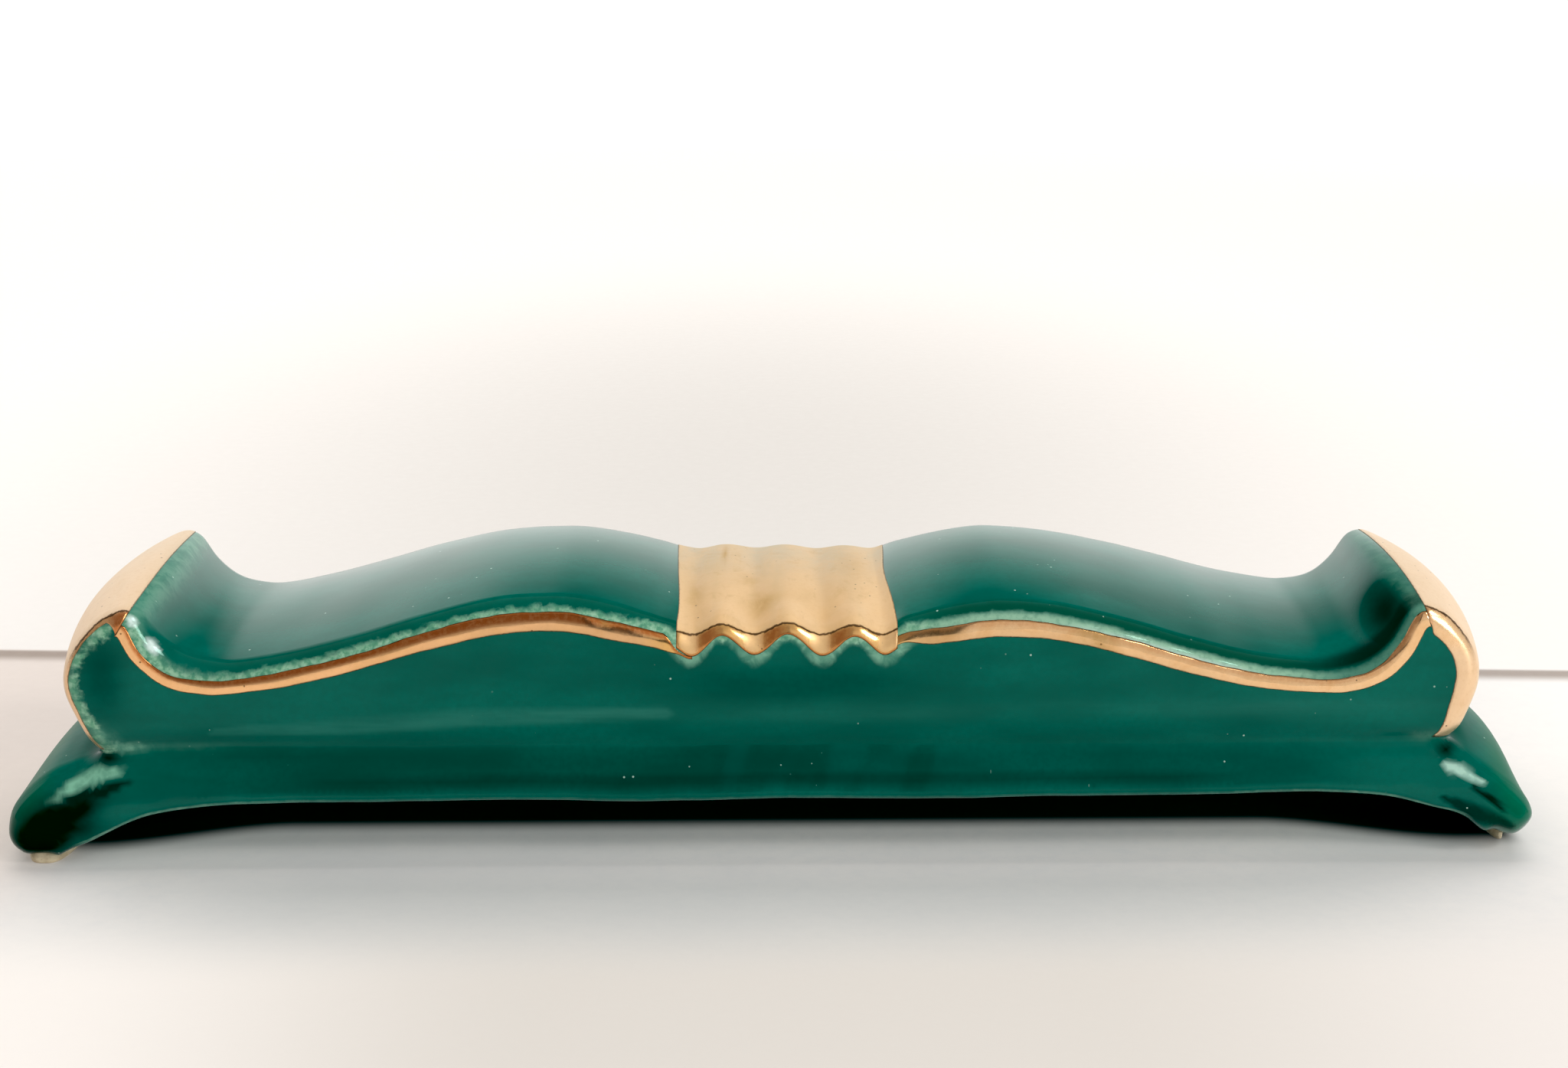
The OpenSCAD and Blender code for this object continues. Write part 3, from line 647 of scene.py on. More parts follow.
def gilt_material():
    m, nt = nodes_of("gilt_lustre")
    t = Tree(nt)
    out = t.add("ShaderNodeOutputMaterial")
    b = t.add("ShaderNodeBsdfPrincipled")
    t.link(b.outputs[0], out.inputs[0])
    co = t.coords()
    satin, worn, border, copper_and_dark_reflection = t.attr("satin"), t.attr("worn"), t.attr("border"), t.attr("copper_and_dark_reflection")
    crest, smudge_and_rib_shade, fade = t.attr("crest"), t.attr("smudge"), t.attr("fade")
    cloud = t.noise(t.scaled(co, 0.5, 0.22, 0.5), 1.0, 4.0, 0.6, 0.8)
    smudge = t.noise(t.scaled(co, 0.9, 0.45, 0.9, (3.1, 0.4, 0.0)), 1.0, 5.0, 0.65, 0.4)
    fine = t.noise(co, 4.0, 3.0, 0.6)
    sep = t.add("ShaderNodeSeparateXYZ")
    t.link(co, sep.inputs[0])
    line = t.mix(t.ramp(sep.outputs["X"], -25.0, 15.0), (0.88, 0.51, 0.25), (0.90, 0.60, 0.33))
    line = t.mix(t.ramp(t.math("ABSOLUTE", sep.outputs["X"]), 6.6, 9.0, 0.85, 0.0), line, (0.93, 0.56, 0.17))
    line = t.mix(t.ramp(cloud, 0.35, 0.7, 0.0, 0.6), line, (0.80, 0.46, 0.20))
    flat = t.mix(t.ramp(sep.outputs["Y"], -8.0, 8.5), (0.73, 0.475, 0.23), (0.55, 0.47, 0.33))
    flat = t.mix(t.ramp(t.noise(t.scaled(co, 1.1, 0.10, 0.3), 1.0, 3.0, 0.55), 0.40, 0.75, 0.0, 0.45), flat, (0.60, 0.43, 0.22))
    flat = t.mix(t.ramp(cloud, 0.35, 0.7, 0.0, 0.5), flat, (0.72, 0.50, 0.27))
    # paler gold at the ends: a painted reflection of the pale backdrop
    flat = t.mix(t.math("MULTIPLY", t.ramp(t.math("ABSOLUTE", sep.outputs["X"]), 36.0, 40.0), 0.7), flat, (0.88, 0.70, 0.52))
    flat = t.mix(t.attr("lit"), flat, (0.86, 0.60, 0.33))
    gold = t.mix(satin, line, flat)
    gold = t.mix(t.ramp(fine, 0.45, 0.8, 0.0, 0.25), gold, (0.66, 0.40, 0.19))
    # copper-brown darkening, mostly a painted dark reflection on the rounded edges
    gold = t.mix(t.math("MULTIPLY", copper_and_dark_reflection, t.ramp(fine, 0.3, 0.6, 0.7, 1.0)), gold, (0.52, 0.165, 0.042))
    stain = t.math("MULTIPLY", t.ramp(smudge, 0.50, 0.75, 0.0, 0.35), worn, clamp=True)
    # smudges, and on the saddle painted shade over the ribs' left-hand sides
    stain = t.math("MAXIMUM", stain, t.math("MULTIPLY", smudge_and_rib_shade, t.ramp(smudge, 0.3, 0.65, 0.55, 1.25)), clamp=True)
    gold = t.mix(stain, gold, (0.50, 0.30, 0.095))
    # pinholes, a thin dark line along the border, and a painted dark reflection line where the rounded edge begins
    v = t.voronoi(co, 1.5)
    pin = t.math("MULTIPLY", t.ramp(v.outputs["Distance"], 0.06, 0.12, 1.0, 0.0), t.ramp(t.noise(co, 0.5, 1.0, 0.5), 0.50, 0.56))
    rule = t.ramp(t.math("ADD", border, t.ramp(fine, 0.3, 0.7, -0.02, 0.03, "LINEAR")), 0.02, 0.075, 1.0, 0.0)
    turn = t.ramp(t.math("ABSOLUTE", t.math("ADD", crest, t.ramp(fine, 0.3, 0.7, -0.05, 0.05, "LINEAR"))), 0.035, 0.10, 1.0, 0.0)
    turn = t.math("MULTIPLY", turn, t.math("SUBTRACT", 1.0, fade), clamp=True)
    dark = t.math("MAXIMUM", t.math("MULTIPLY", pin, 0.75), t.math("MAXIMUM", t.math("MULTIPLY", rule, 0.75), t.math("MULTIPLY", turn, 0.9)), clamp=True)
    gold = t.mix(dark, gold, (0.085, 0.035, 0.012))
    t.link(gold, b.inputs["Base Color"])
    t.link(t.ramp(satin, 0.0, 1.0, 1.0, 0.35, "LINEAR"), b.inputs["Metallic"])
    gloss = t.ramp(t.noise(co, 1.3, 3.0, 0.6), 0.3, 0.75, 0.09, 0.17, "LINEAR")
    mat = t.ramp(t.noise(co, 1.3, 3.0, 0.6), 0.3, 0.75, 0.50, 0.60, "LINEAR")
    r = t.add("ShaderNodeMix", data_type="FLOAT")
    t.link(satin, r.inputs[0])
    t.link(gloss, r.inputs[2])
    t.link(mat, r.inputs[3])
    t.link(r.outputs[0], b.inputs["Roughness"])
    n1 = t.bump(t.noise(co, 2.2, 3.0, 0.55), 0.12, 0.00003)
    t.link(n1, b.inputs["Normal"])
    return m


def clay_material():
    m, nt = nodes_of("bare_clay")
    t = Tree(nt)
    out = t.add("ShaderNodeOutputMaterial")
    b = t.add("ShaderNodeBsdfPrincipled")
    t.link(b.outputs[0], out.inputs[0])
    co = t.coords()
    a = t.noise(co, 1.2, 4.0, 0.6)
    g = t.noise(co, 9.0, 2.0, 0.6)
    col = t.mix(t.ramp(a, 0.3, 0.7), (0.80, 0.69, 0.48), (0.66, 0.53, 0.34))
    col = t.mix(t.ramp(g, 0.5, 0.8, 0.0, 0.4), col, (0.42, 0.31, 0.18))
    t.link(col, b.inputs["Base Color"])
    t.link(t.ramp(g, 0.3, 0.7, 0.75, 0.95, "LINEAR"), b.inputs["Roughness"])
    t.link(t.bump(g, 0.5, 0.00006), b.inputs["Normal"])
    return m


def floor_material():
    m, nt = nodes_of("floor_pale")
    t = Tree(nt)
    out = t.add("ShaderNodeOutputMaterial")
    b = t.add("ShaderNodeBsdfPrincipled")
    t.link(b.outputs[0], out.inputs[0])
    co = t.coords()
    a = t.noise(t.scaled(co, 0.05, 0.05, 0.05), 1.0, 4.0, 0.6)
    g = t.noise(co, 0.9, 3.0, 0.6)
    col = t.mix(t.ramp(a, 0.3, 0.7), (0.56, 0.55, 0.54), (0.61, 0.59, 0.57))
    col = t.mix(t.ramp(g, 0.4, 0.75, 0.0, 0.3), col, (0.53, 0.53, 0.53))
    sep = t.add("ShaderNodeSeparateXYZ")
    t.link(co, sep.inputs[0])
    X, Y = sep.outputs["X"], sep.outputs["Y"]
    # painted light and shade: the floor lighter towards either side, and a warmer, duller painted shadow to the left
    # behind the piece
    left = t.math("MULTIPLY", t.ramp(X, -42.0, -50.0), t.ramp(Y, -24.0, -6.0), clamp=True)
    col = t.mix(t.ramp(t.math("ABSOLUTE", X), 36.0, 75.0, 0.0, 0.85), col, (0.76, 0.73, 0.70))
    col = t.mix(t.math("MULTIPLY", left, 0.6), col, (0.53, 0.44, 0.385))
    # softer light on the sheet just in front of the piece
    beside = t.mix(t.ramp(X, -5.0, 22.0), (0.69, 0.65, 0.615), (0.618, 0.582, 0.552))
    ahead = t.mix(t.ramp(t.math("ABSOLUTE", t.math("SUBTRACT", X, 1.5)), 14.0, 44.0), (0.535, 0.50, 0.463), beside)
    col = t.mix(t.ramp(Y, -14.0, -27.0), col, ahead)
    near_front = t.math("MULTIPLY", t.ramp(t.math("ABSOLUTE", X), 27.0, 44.0, 1.0, 0.0), t.math("MULTIPLY", t.ramp(Y, -10.0, -14.0), t.ramp(Y, -16.0, -27.0, 1.0, 0.0)), clamp=True)
    col = t.mix(t.math("MULTIPLY", near_front, 0.55), col, (0.385, 0.39, 0.38))
    # the sheet's far edge, a straight line behind the piece, with a painted shadow line just in front of it
    far = t.math("ADD", Y, t.math("MULTIPLY", X, 0.0518))
    past = t.ramp(far, 30.4, 31.2)
    gap = t.math("MULTIPLY", t.ramp(far, 27.4, 29.6), t.ramp(far, 30.2, 31.2, 1.0, 0.0), clamp=True)
    col = t.mix(t.math("MULTIPLY", gap, 0.8), col, (0.22, 0.17, 0.14))
    # the space under the arch hardly gets any light
    ax = t.math("ABSOLUTE", X)
    reach = t.math("SUBTRACT", t.math("ABSOLUTE", Y), t.ramp(ax, 31.0, 44.0, 0.0, 3.2))
    under = t.math("MULTIPLY", t.ramp(reach, 2.4, 4.8, 1.0, 0.0), t.ramp(ax, 46.5, 48.0, 1.0, 0.0), clamp=True)
    col = t.mix(t.math("MULTIPLY", under, 0.985), col, (0.0005, 0.004, 0.002))
    # white sheet beyond, a shade greyer behind the middle
    v = t.add("ShaderNodeVectorMath", operation="LENGTH")
    t.link(t.scaled(co, 0.0125, 0.0068, 0.0, (0.03, -0.60, 0.0)), v.inputs[0])
    spot = t.ramp(v.outputs["Value"], 0.05, 1.25, 1.0, 0.0)
    sheet = t.mix(spot, (0.60, 0.575, 0.55), (0.455, 0.433, 0.408))
    col = t.mix(past, col, sheet)
    t.link(col, b.inputs["Base Color"])
    # the floor glows a little, painted light that lifts its shadows, more past the far edge
    t.link(col, b.inputs["Emission Color"])
    t.link(t.ramp(past, 0.0, 1.0, 0.26, 0.55, "LINEAR"), b.inputs["Emission Strength"])
    t.link(t.ramp(under, 0.0, 0.8, 0.2, 0.0, "LINEAR"), b.inputs["Specular IOR Level"])
    t.link(t.ramp(g, 0.3, 0.7, 0.6, 0.8, "LINEAR"), b.inputs["Roughness"])
    t.link(t.bump(g, 0.15, 0.0001), b.inputs["Normal"])
    return m


def card_material(low, high, edge, blur=25.0):
    """Dim studio card: brighter along its foot than above."""
    m, nt = nodes_of("studio_card")
    t = Tree(nt)
    out = t.add("ShaderNodeOutputMaterial")
    glow = t.add("ShaderNodeEmission")
    co = t.coords()
    sep = t.add("ShaderNodeSeparateXYZ")
    t.link(co, sep.inputs[0])
    t.link(t.mix(t.ramp(sep.outputs["Z"], edge - blur, edge + blur), low, high), glow.inputs["Color"])
    t.link(glow.outputs[0], out.inputs[0])
    return m


def wall_material():
    m, nt = nodes_of("wall_white")
    t = Tree(nt)
    out = t.add("ShaderNodeOutputMaterial")
    glow = t.add("ShaderNodeEmission")
    clear = t.add("ShaderNodeBsdfTransparent")
    sw = t.add("ShaderNodeMixShader")
    co = t.coords()
    sep = t.add("ShaderNodeSeparateXYZ")
    t.link(co, sep.inputs[0])
    g = t.noise(t.scaled(co, 0.01, 0.01, 0.01), 1.0, 3.0, 0.6)
    t.link(t.mix(t.ramp(g, 0.3, 0.7), (1.0, 0.97, 0.94), (1.0, 0.98, 0.96)), glow.inputs["Color"])
    glow.inputs["Strength"].default_value = 1.25
    lean = t.math("ADD", sep.outputs["Z"], t.math("MULTIPLY", t.math("MINIMUM", sep.outputs["X"], 0.0), 0.5))
    t.link(t.ramp(lean, 50.0, 330.0), sw.inputs[0])
    t.link(glow.outputs[0], sw.inputs[1])
    t.link(clear.outputs[0], sw.inputs[2])
    t.link(sw.outputs[0], out.inputs[0])
    return m


# ---------------------------------------------------------------- the glaze coat
def strip_stations(N):
    """Station ranges of the bare strips under the right and the left foot."""
    s = np.arange(N) * TOTAL / N
    o, _ = station(s)
    flat = (o[:, 1] < SOLE + 0.02) & (np.abs(o[:, 0]) > 44.4) & (np.abs(o[:, 0]) < 46.4)
    idx = np.nonzero(flat)[0]
    right = idx[o[idx, 0] > 0]
    left = idx[o[idx, 0] < 0]
    return (right.min(), right.max()), (left.min(), left.max())


N_ST = 960
NRND, NTOP = 8, 34


def ring_dist(s, mark):
    """Distance along the outline from a named mark."""
    d = np.mod(s - AT[mark] + TOTAL / 2, TOTAL) - TOTAL / 2
    return d


def bump_at(x, z, cx, cz, rx, rz, turn=0.0):
    c, n = math.cos(math.radians(turn)), math.sin(math.radians(turn))
    dx, dz = x - cx, z - cz
    return np.exp(-((c * dx + n * dz) / rx) ** 2 - ((-n * dx + c * dz) / rz) ** 2)


def rib_phase(x):
    """1 on a rib, 0 in a valley, inside the ribbed stretch."""
    return 0.5 + 0.5 * np.cos(2 * math.pi * (x - RIB_SHIFT) / RIB_PITCH)


def saddle_low(x):
    """Lower border of the saddle's gilding, mm over the edge."""
    return -0.22 + 0.50 * rib_phase(x)


def along(x, z, pts, widths):
    """1 inside a tapering stroke along pts, falling to 0 over its half width."""
    best = np.zeros_like(x)
    for (ax, az), (bx, bz), wa, wb in zip(pts[:-1], pts[1:], widths[:-1], widths[1:]):
        dx, dz = bx - ax, bz - az
        t = np.clip(((x - ax) * dx + (z - az) * dz) / (dx * dx + dz * dz), 0, 1)
        d = np.hypot(x - ax - t * dx, z - az - t * dz)
        best = np.maximum(best, 1 - step(0.45, 1.35, d / lerp(wa, wb, t)))
    return best


def glaze_attrs(s, q, V, M):
    """q: mm over the edge. rim, edge, foot, low: how far a place belongs to each band of broken glaze. bleed: pale
    bleed.
    pool: pooled glaze, with painted shade and painted dark reflections. calm: smoother, paler rim, partly a painted
    highlight."""
    x, y, z = V[:, 0], V[:, 1], V[:, 2]
    mx, my, mz = M[:, 0], M[:, 1], M[:, 2]
    sm = np.mod(s, TOTAL)
    top = (sm <= AT["tip_r"] + 0.3) | (sm >= AT["tip_l"] - 0.3)
    rim = np.where(top, 1.0, 0.0) * (1 - 0.72 * step(30.5, 35.5, x))
    rim = rim * (1 - 0.85 * step(0.62, 1.0, q) * (1 - step(-37, -31, x)))
    edge = np.where((sm > AT["notch_l"] + 0.2) & (sm < AT["tip_l"] - 0.5), 1.0, 0.0)
    ft_r, ft_l = ring_dist(sm, "notch_r"), -ring_dist(sm, "notch_l")
    ft = np.maximum(np.where((ft_r > 0) & (ft_r < 9), ft_r, 0), np.where((ft_l > 0) & (ft_l < 9), ft_l, 0))
    edge = edge * lerp(1.0, step(-0.45, 0.10, q), 1 - step(9.5, 12.5, z))
    foot = step(0.5, 1.3, ft) * (1 - step(3.0, 5.6, ft))
    low = np.where((sm >= AT["toe_r"] + 0.8) & (sm <= AT["toe_l"] - 0.8), 1.0, 0.0) * (1 - step(42.0, 43.6, np.abs(x)))
    front = 1 - step(-7.5, -2.5, my)
    # bleed round the foot of the horns' discs and inside the horns' ridges
    inner = (q < 1.2)
    crease_l = np.exp(-((mz - 7.55) / 0.27) ** 2) * step(-41.2, -40.4, mx) * (1 - 0.88 * step(-40.0, -37.9, mx)) * (1 - step(-38, -30, mx)) * inner
    crease_r = 0.30 * np.exp(-((mz - 8.0) / 0.35) ** 2) * (1 - step(40.4, 41.6, mx)) * step(38.6, 40.4, mx) * inner
    disc_l = 0.6 * bump_at(mx, mz, -41.2, 8.3, 0.55, 0.75, 50) * inner
    dl, dr = ring_dist(sm, "tip_l"), -ring_dist(sm, "tip_r")
    ridge = (q > 0.8) * np.maximum(0.60 * step(0.2, 0.7, dl) * (1 - step(0.9, 2.6, dl)), 0.28 * step(-0.1, 0.3, dr) * (1 - step(0.4, 1.4, dr)))
    bleed = np.maximum.reduce([crease_l, crease_r, disc_l, ridge])
    # painted sheen: a pale band along the front face a little above the groove
    painted_sheen = 0.75 * along(mx, mz, [(-34.5, 8.6), (-27, 8.9), (-20, 9.35), (-7, 9.75)], [0.25, 0.55, 0.62, 0.4]) + 0.25 * bump_at(mx, mz, 4, 9.6, 9, 0.6) + 0.35 * bump_at(mx, mz, 30, 10.0, 12, 0.5)
    painted_sheen = painted_sheen * (q < -0.5)
    # pale streaks on the feet's upper front edges: broken glaze with a painted highlight
    streak = np.maximum(along(mx, mz, [(-39.9, 6.2), (-41.6, 5.95), (-43.0, 5.35), (-44.6, 4.35)], [0.10, 0.44, 0.36, 0.14]) * front * (0.12 + 0.88 * step(-44.6, -43.3, mx)),
                        along(mx, mz, [(41.5, 6.2), (42.4, 5.9), (43.9, 5.05)], [0.26, 0.36, 0.10]) * (my < 0))
    streak = np.maximum(streak, 0.8 * (my > 0) * along(np.abs(mx), mz, [(40.6, 6.4), (42.2, 5.9), (44.4, 4.5)], [0.15, 0.35, 0.15]))
    # dark cores and streaks on the feet's fronts and dark pits at the notches: pooled glaze with painted shade and
    # painted dark reflections
    core = np.minimum(1.0, np.maximum(1.8 * bump_at(mx, mz, -44.7, 2.6, 2.6, 1.5, 36), 1.3 * bump_at(mx, mz, -43.0, 3.7, 1.9, 0.95, 30)))
    core = np.maximum(core, 0.88 * bump_at(mx, mz, -42.8, 2.8, 1.5, 1.15, 25)) * front
    pool_and_shade = np.maximum.reduce([1.0 * bump_at(mx, mz, -41.0, 6.85, 0.85, 0.42, 10), 1.0 * bump_at(mx, mz, 41.55, 7.05, 0.55, 0.40), core,
                              0.9 * along(mx, mz, [(-43.0, 4.5), (-41.2, 5.0), (-39.8, 5.6)], [0.7, 0.45, 0.15]) * front,
                              0.95 * along(mx, mz, [(43.2, 4.95), (44.4, 4.1), (45.2, 3.4)], [0.12, 0.26, 0.14]) * front,
                              0.8 * along(mx, mz, [(41.4, 4.2), (42.7, 3.6), (43.7, 3.1), (44.9, 2.55), (45.9, 2.1)], [0.2, 0.5, 0.62, 0.55, 0.3]) * front])
    # painted shade: a dark band just above the lower edge, along the groove, over the lower face and across the middle
    # of the upper face
    low_c = 0.62 * low * np.exp(-((q + 0.62) / 0.55) ** 2) * (1 - step(24, 38, np.abs(x)))
    groove = 0.22 * np.exp(-((z - NZ - 0.15) / 0.42) ** 2) * (1 - step(24, 36, np.abs(x))) * (q < -0.5)
    shade = np.maximum(0.40 * bump_at(mx, mz, 0.5, 11.7, 8.5, 1.3), 0.38 * (1 - step(6.8, 8.4, mz)) * (1 - step(30, 40, np.abs(mx)))) * (q < 0.0)
    front_half = 1 - step(-3.5, 2.5, my)
    # painted dark reflections: a soft dark blotch inside the right horn and a dark band over the right rim before it
    near_r = np.exp(-((mx - 38.0) / 1.5) ** 2 - ((my + 6.2) / 4.0) ** 2 - ((mz - 15.0) / 2.8) ** 2) * step(0.8, 1.5, q)
    dark_reflection_r = 0.93 * near_r
    grow = step(31, 37.5, x)
    dark_reflection_m = (my < 0) * (mz > 9.0) * step(29, 36, x) * step(1.0, 1.4, q) * (1 - step(lerp(1.4, 2.2, grow), lerp(2.3, 4.2, grow), q)) * 0.9
    # painted shade on the left horn's disc, inside its edge
    disc = 0.5 * bump_at(mx, mz, -41.0, 12.1, 1.5, 2.9) * (q < 0.1) * front
    pool_and_shade = np.maximum.reduce([pool_and_shade, dark_reflection_r, dark_reflection_m, low_c, groove, shade, disc])
    calm = step(6, 12, x)
    dull = np.where(((ft_r > 0.2) & (ft_r < 9)) | ((ft_l > 0.2) & (ft_l < 9)), 0.85, 0.0) * step(0.9, 1.9, q)
    gleam = 0.95 * along(mx, mz, [(43.6, 5.35), (44.8, 4.5), (46.2, 3.3)], [0.55, 0.6, 0.5]) * front
    gleam = np.maximum(gleam, 0.97 * along(mx, mz, [(40.7, 7.7), (41.5, 6.75), (42.5, 6.0)], [0.4, 0.55, 0.5]) * front)
    dull = np.maximum.reduce([dull, np.minimum(1.0, 1.6 * near_r ** 0.6), 0.8 * dark_reflection_m, gleam])
    # painted highlights: two spots on the left horn's rim and a streak along the right rim
    glint = np.zeros_like(q)
    for cx, cz, a, b in ((-39.05, 15.5, 0.42, 0.24), (-37.95, 13.95, 0.60, 0.25)):
        u, v = 0.55 * (mx - cx) - 0.835 * (mz - cz), 0.835 * (mx - cx) + 0.55 * (mz - cz)
        glint = np.maximum(glint, (1 - step(0.5, 1.25, np.sqrt((u / a) ** 2 + (v / b) ** 2))) * (q > 0.2) * (my < 0))
    glint = np.maximum(glint, 0.55 * step(15, 22, x) * (1 - step(27, 31, x)) * np.exp(-((q - 0.52) / 0.2) ** 2) * (my < 0) * top)
    toes = step(43.4, 46.0, np.abs(mx)) * (1 - step(5.5, 7.5, mz)) * 0.5
    return rim, edge, foot, low, bleed, pool_and_shade, calm, dull, painted_sheen, streak, glint, toes


def make_glaze():
    V, F, sv, wv, rows, w = skin(N_ST, NRND, NTOP, 0.0, 0.46, 0.25)
    V2, F2, _, _, _, _ = skin(N_ST, NRND, NTOP, GLAZE_T, 0.9, 0.5)
    n1 = len(V)
    j0, j1 = NRND, NRND + NTOP           # rows at w = 1 and w = 2
    spans = strip_stations(N_ST)
    bare = np.zeros((rows - 1, N_ST), bool)
    for a, b in spans:
        bare[j0:j1, a:b] = True
    def keep(idx):
        j, i = divmod(idx, N_ST)
        return not bare[j, i]
    quads = (rows - 1) * N_ST
    faces = [f for k, f in enumerate(F) if k >= quads or keep(k)]
    faces += [tuple(n1 + i for i in reversed(f)) for k, f in enumerate(F2) if k >= quads or keep(k)]
    at = lambda i, j: j * N_ST + i % N_ST
    for a, b in spans:
        for j in range(j0, j1):
            faces.append((at(a, j), at(a, j + 1), n1 + at(a, j + 1), n1 + at(a, j))[::-1])
            faces.append((at(b, j), at(b, j + 1), n1 + at(b, j + 1), n1 + at(b, j)))
        for i in range(a, b):
            faces.append((at(i, j0), at(i + 1, j0), n1 + at(i + 1, j0), n1 + at(i, j0)))
            faces.append((at(i, j1), at(i + 1, j1), n1 + at(i + 1, j1), n1 + at(i, j1))[::-1])
    allv = wobble(np.concatenate([V, V2]))
    ring = N_ST * rows
    wf = np.where(wv[:ring] > 1.5, 3 - wv[:ring], wv[:ring])
    L = edge_len(sv[:ring])
    q = np.concatenate([np.where(wf <= 1, wf * L, L + (wf - 1) * 17.2), np.zeros(len(V) - ring)])
    loop = V[:N_ST][:, [0, 2]]
    half = (len(V) - ring) // 2
    pts = V[ring:ring + half][:, [0, 2]]
    dist, idx = np.zeros(half), np.zeros(half, int)
    for k in range(0, half, 500):
        d = ((pts[k:k + 500, None, :] - loop[None]) ** 2).sum(-1)
        idx[k:k + 500] = d.argmin(1)
        dist[k:k + 500] = np.sqrt(d.min(1))
    q[ring:] = -np.concatenate([dist, dist])
    sv = sv.copy()
    sv[ring:] = np.concatenate([sv[:N_ST][idx]] * 2)
    vals = glaze_attrs(sv, q, V, allv[:len(V)])
    names = ("rim", "edge", "foot", "low", "bleed", "pool_and_shade", "calm", "dull", "painted_sheen", "streak", "glint", "toes")
    pad = lambda a, fill: np.concatenate([a, np.full(len(V2), fill)])
    attrs = {k: pad(v, 0.0) for k, v in zip(names, vals)}
    attrs["over"] = pad(np.clip(q, -4, 4), -4.0)
    ob = new_object("glaze_skin", allv, faces, attrs)
    return ob


def make_clay():
    V, F, _, _, _, _ = skin(480, 5, 18, GLAZE_T + 0.01, 1.1, 0.6)
    ob = new_object("clay_body", wobble(V), F)
    return ob


def make_pad(sgn):
    """Ground foot pad: a flat bar with round corners and a small chamfer, at the floor."""
    n = 96
    a = np.linspace(0, 2 * math.pi, n, endpoint=False)
    hx, hy, e = (0.8, 8.1, 2.3) if sgn > 0 else (1.6, 9.25, 3.2)
    x0, y0 = (46.2, 1.3) if sgn > 0 else (45.4, 0.0)
    c, s_ = np.cos(a), np.sin(a)
    k = (np.abs(c) ** e + np.abs(s_) ** e) ** (-1 / e)
    base = np.column_stack([hx * k * c, hy * k * s_])
    levels = [(0.0, -0.12), (0.06, -0.03), (0.25, 0.0), (0.5, -0.05), (1.2, -0.6)]
    V = [np.column_stack([sgn * (x0 + base[:, 0] * (1 + d / hx)), y0 + base[:, 1] * (1 + d / hy), np.full(n, z)]) for z, d in levels]
    V = np.concatenate(V)
    F = []
    for j in range(len(levels) - 1):
        for i in range(n):
            b = (i + 1) % n
            f = (j * n + i, j * n + b, (j + 1) * n + b, (j + 1) * n + i)
            F.append(f if sgn > 0 else f[::-1])
    bot = tuple(range(n))[::-1]
    top = tuple((len(levels) - 1) * n + i for i in range(n))
    F += [bot, top] if sgn > 0 else [bot[::-1], top[::-1]]
    return V, F


# ---------------------------------------------------------------- gilding
def grid_shell(name, S, W, Q, attrs, lift=0.02, sink=0.05):
    """Thin closed layer on the surface over a grid of outline lengths S and positions W."""
    h, n = S.shape
    jj, ii = np.meshgrid(np.arange(h), np.arange(n), indexing="ij")
    edge = np.minimum(np.minimum(ii, n - 1 - ii), np.minimum(jj, h - 1 - jj))
    up = np.where(edge == 0, 0.6 * lift, lift)
    top = surf(S, W, -up).reshape(-1, 3)
    low = surf(S, W, sink).reshape(-1, 3)
    V = wobble(np.concatenate([top, low]))
    m = h * n
    F = []
    for j in range(h - 1):
        for i in range(n - 1):
            a, b, c, d = j * n + i, (j + 1) * n + i, (j + 1) * n + i + 1, j * n + i + 1
            F.append((a, d, c, b))
            F.append((m + a, m + b, m + c, m + d))
    walls = len(F)
    for i in range(n - 1):
        F.append((i, m + i, m + i + 1, i + 1))
        a = (h - 1) * n + i
        F.append((a, a + 1, m + a + 1, m + a))
    for j in range(h - 1):
        a, b = j * n, (j + 1) * n
        F.append((a, b, m + b, m + a))
        a, b = j * n + n - 1, (j + 1) * n + n - 1
        F.append((a, m + a, m + b, b))
    attrs = {"crest": np.full(S.shape, 9.0), "smudge": np.zeros(S.shape), "fade": np.zeros(S.shape), "lit": np.zeros(S.shape), **attrs}
    data = {k: np.concatenate([np.broadcast_to(v, S.shape).ravel()] * 2) for k, v in attrs.items()}
    return new_object(name, V, F, data, flat=range(walls, len(F)))


def border_of(V, h, n):
    """Distance in mm from each grid point to the nearest side of its patch."""
    G = V.reshape(h, n, 3)
    def run_len(A, axis):
        d = np.linalg.norm(np.diff(A, axis=axis), axis=-1)
        c = np.concatenate([np.zeros_like(np.take(d, [0], axis)), np.cumsum(d, axis)], axis)
        return np.minimum(c, np.take(c, [-1], axis) - c)
    return np.minimum(run_len(G, 0), run_len(G, 1))


def run(a, b, spacing=0.2):
    n = max(8, int(round((b - a) / spacing)))
    return np.linspace(a, b, n + 1)


def hand(s, seed, amp):
    """Unsteady hand of the painter, mm."""
    return amp * (0.5 * np.sin(0.71 * s + seed) + 0.3 * np.sin(1.9 * s + 2.3 * seed) + 0.2 * np.sin(4.3 * s + 4.1 * seed))


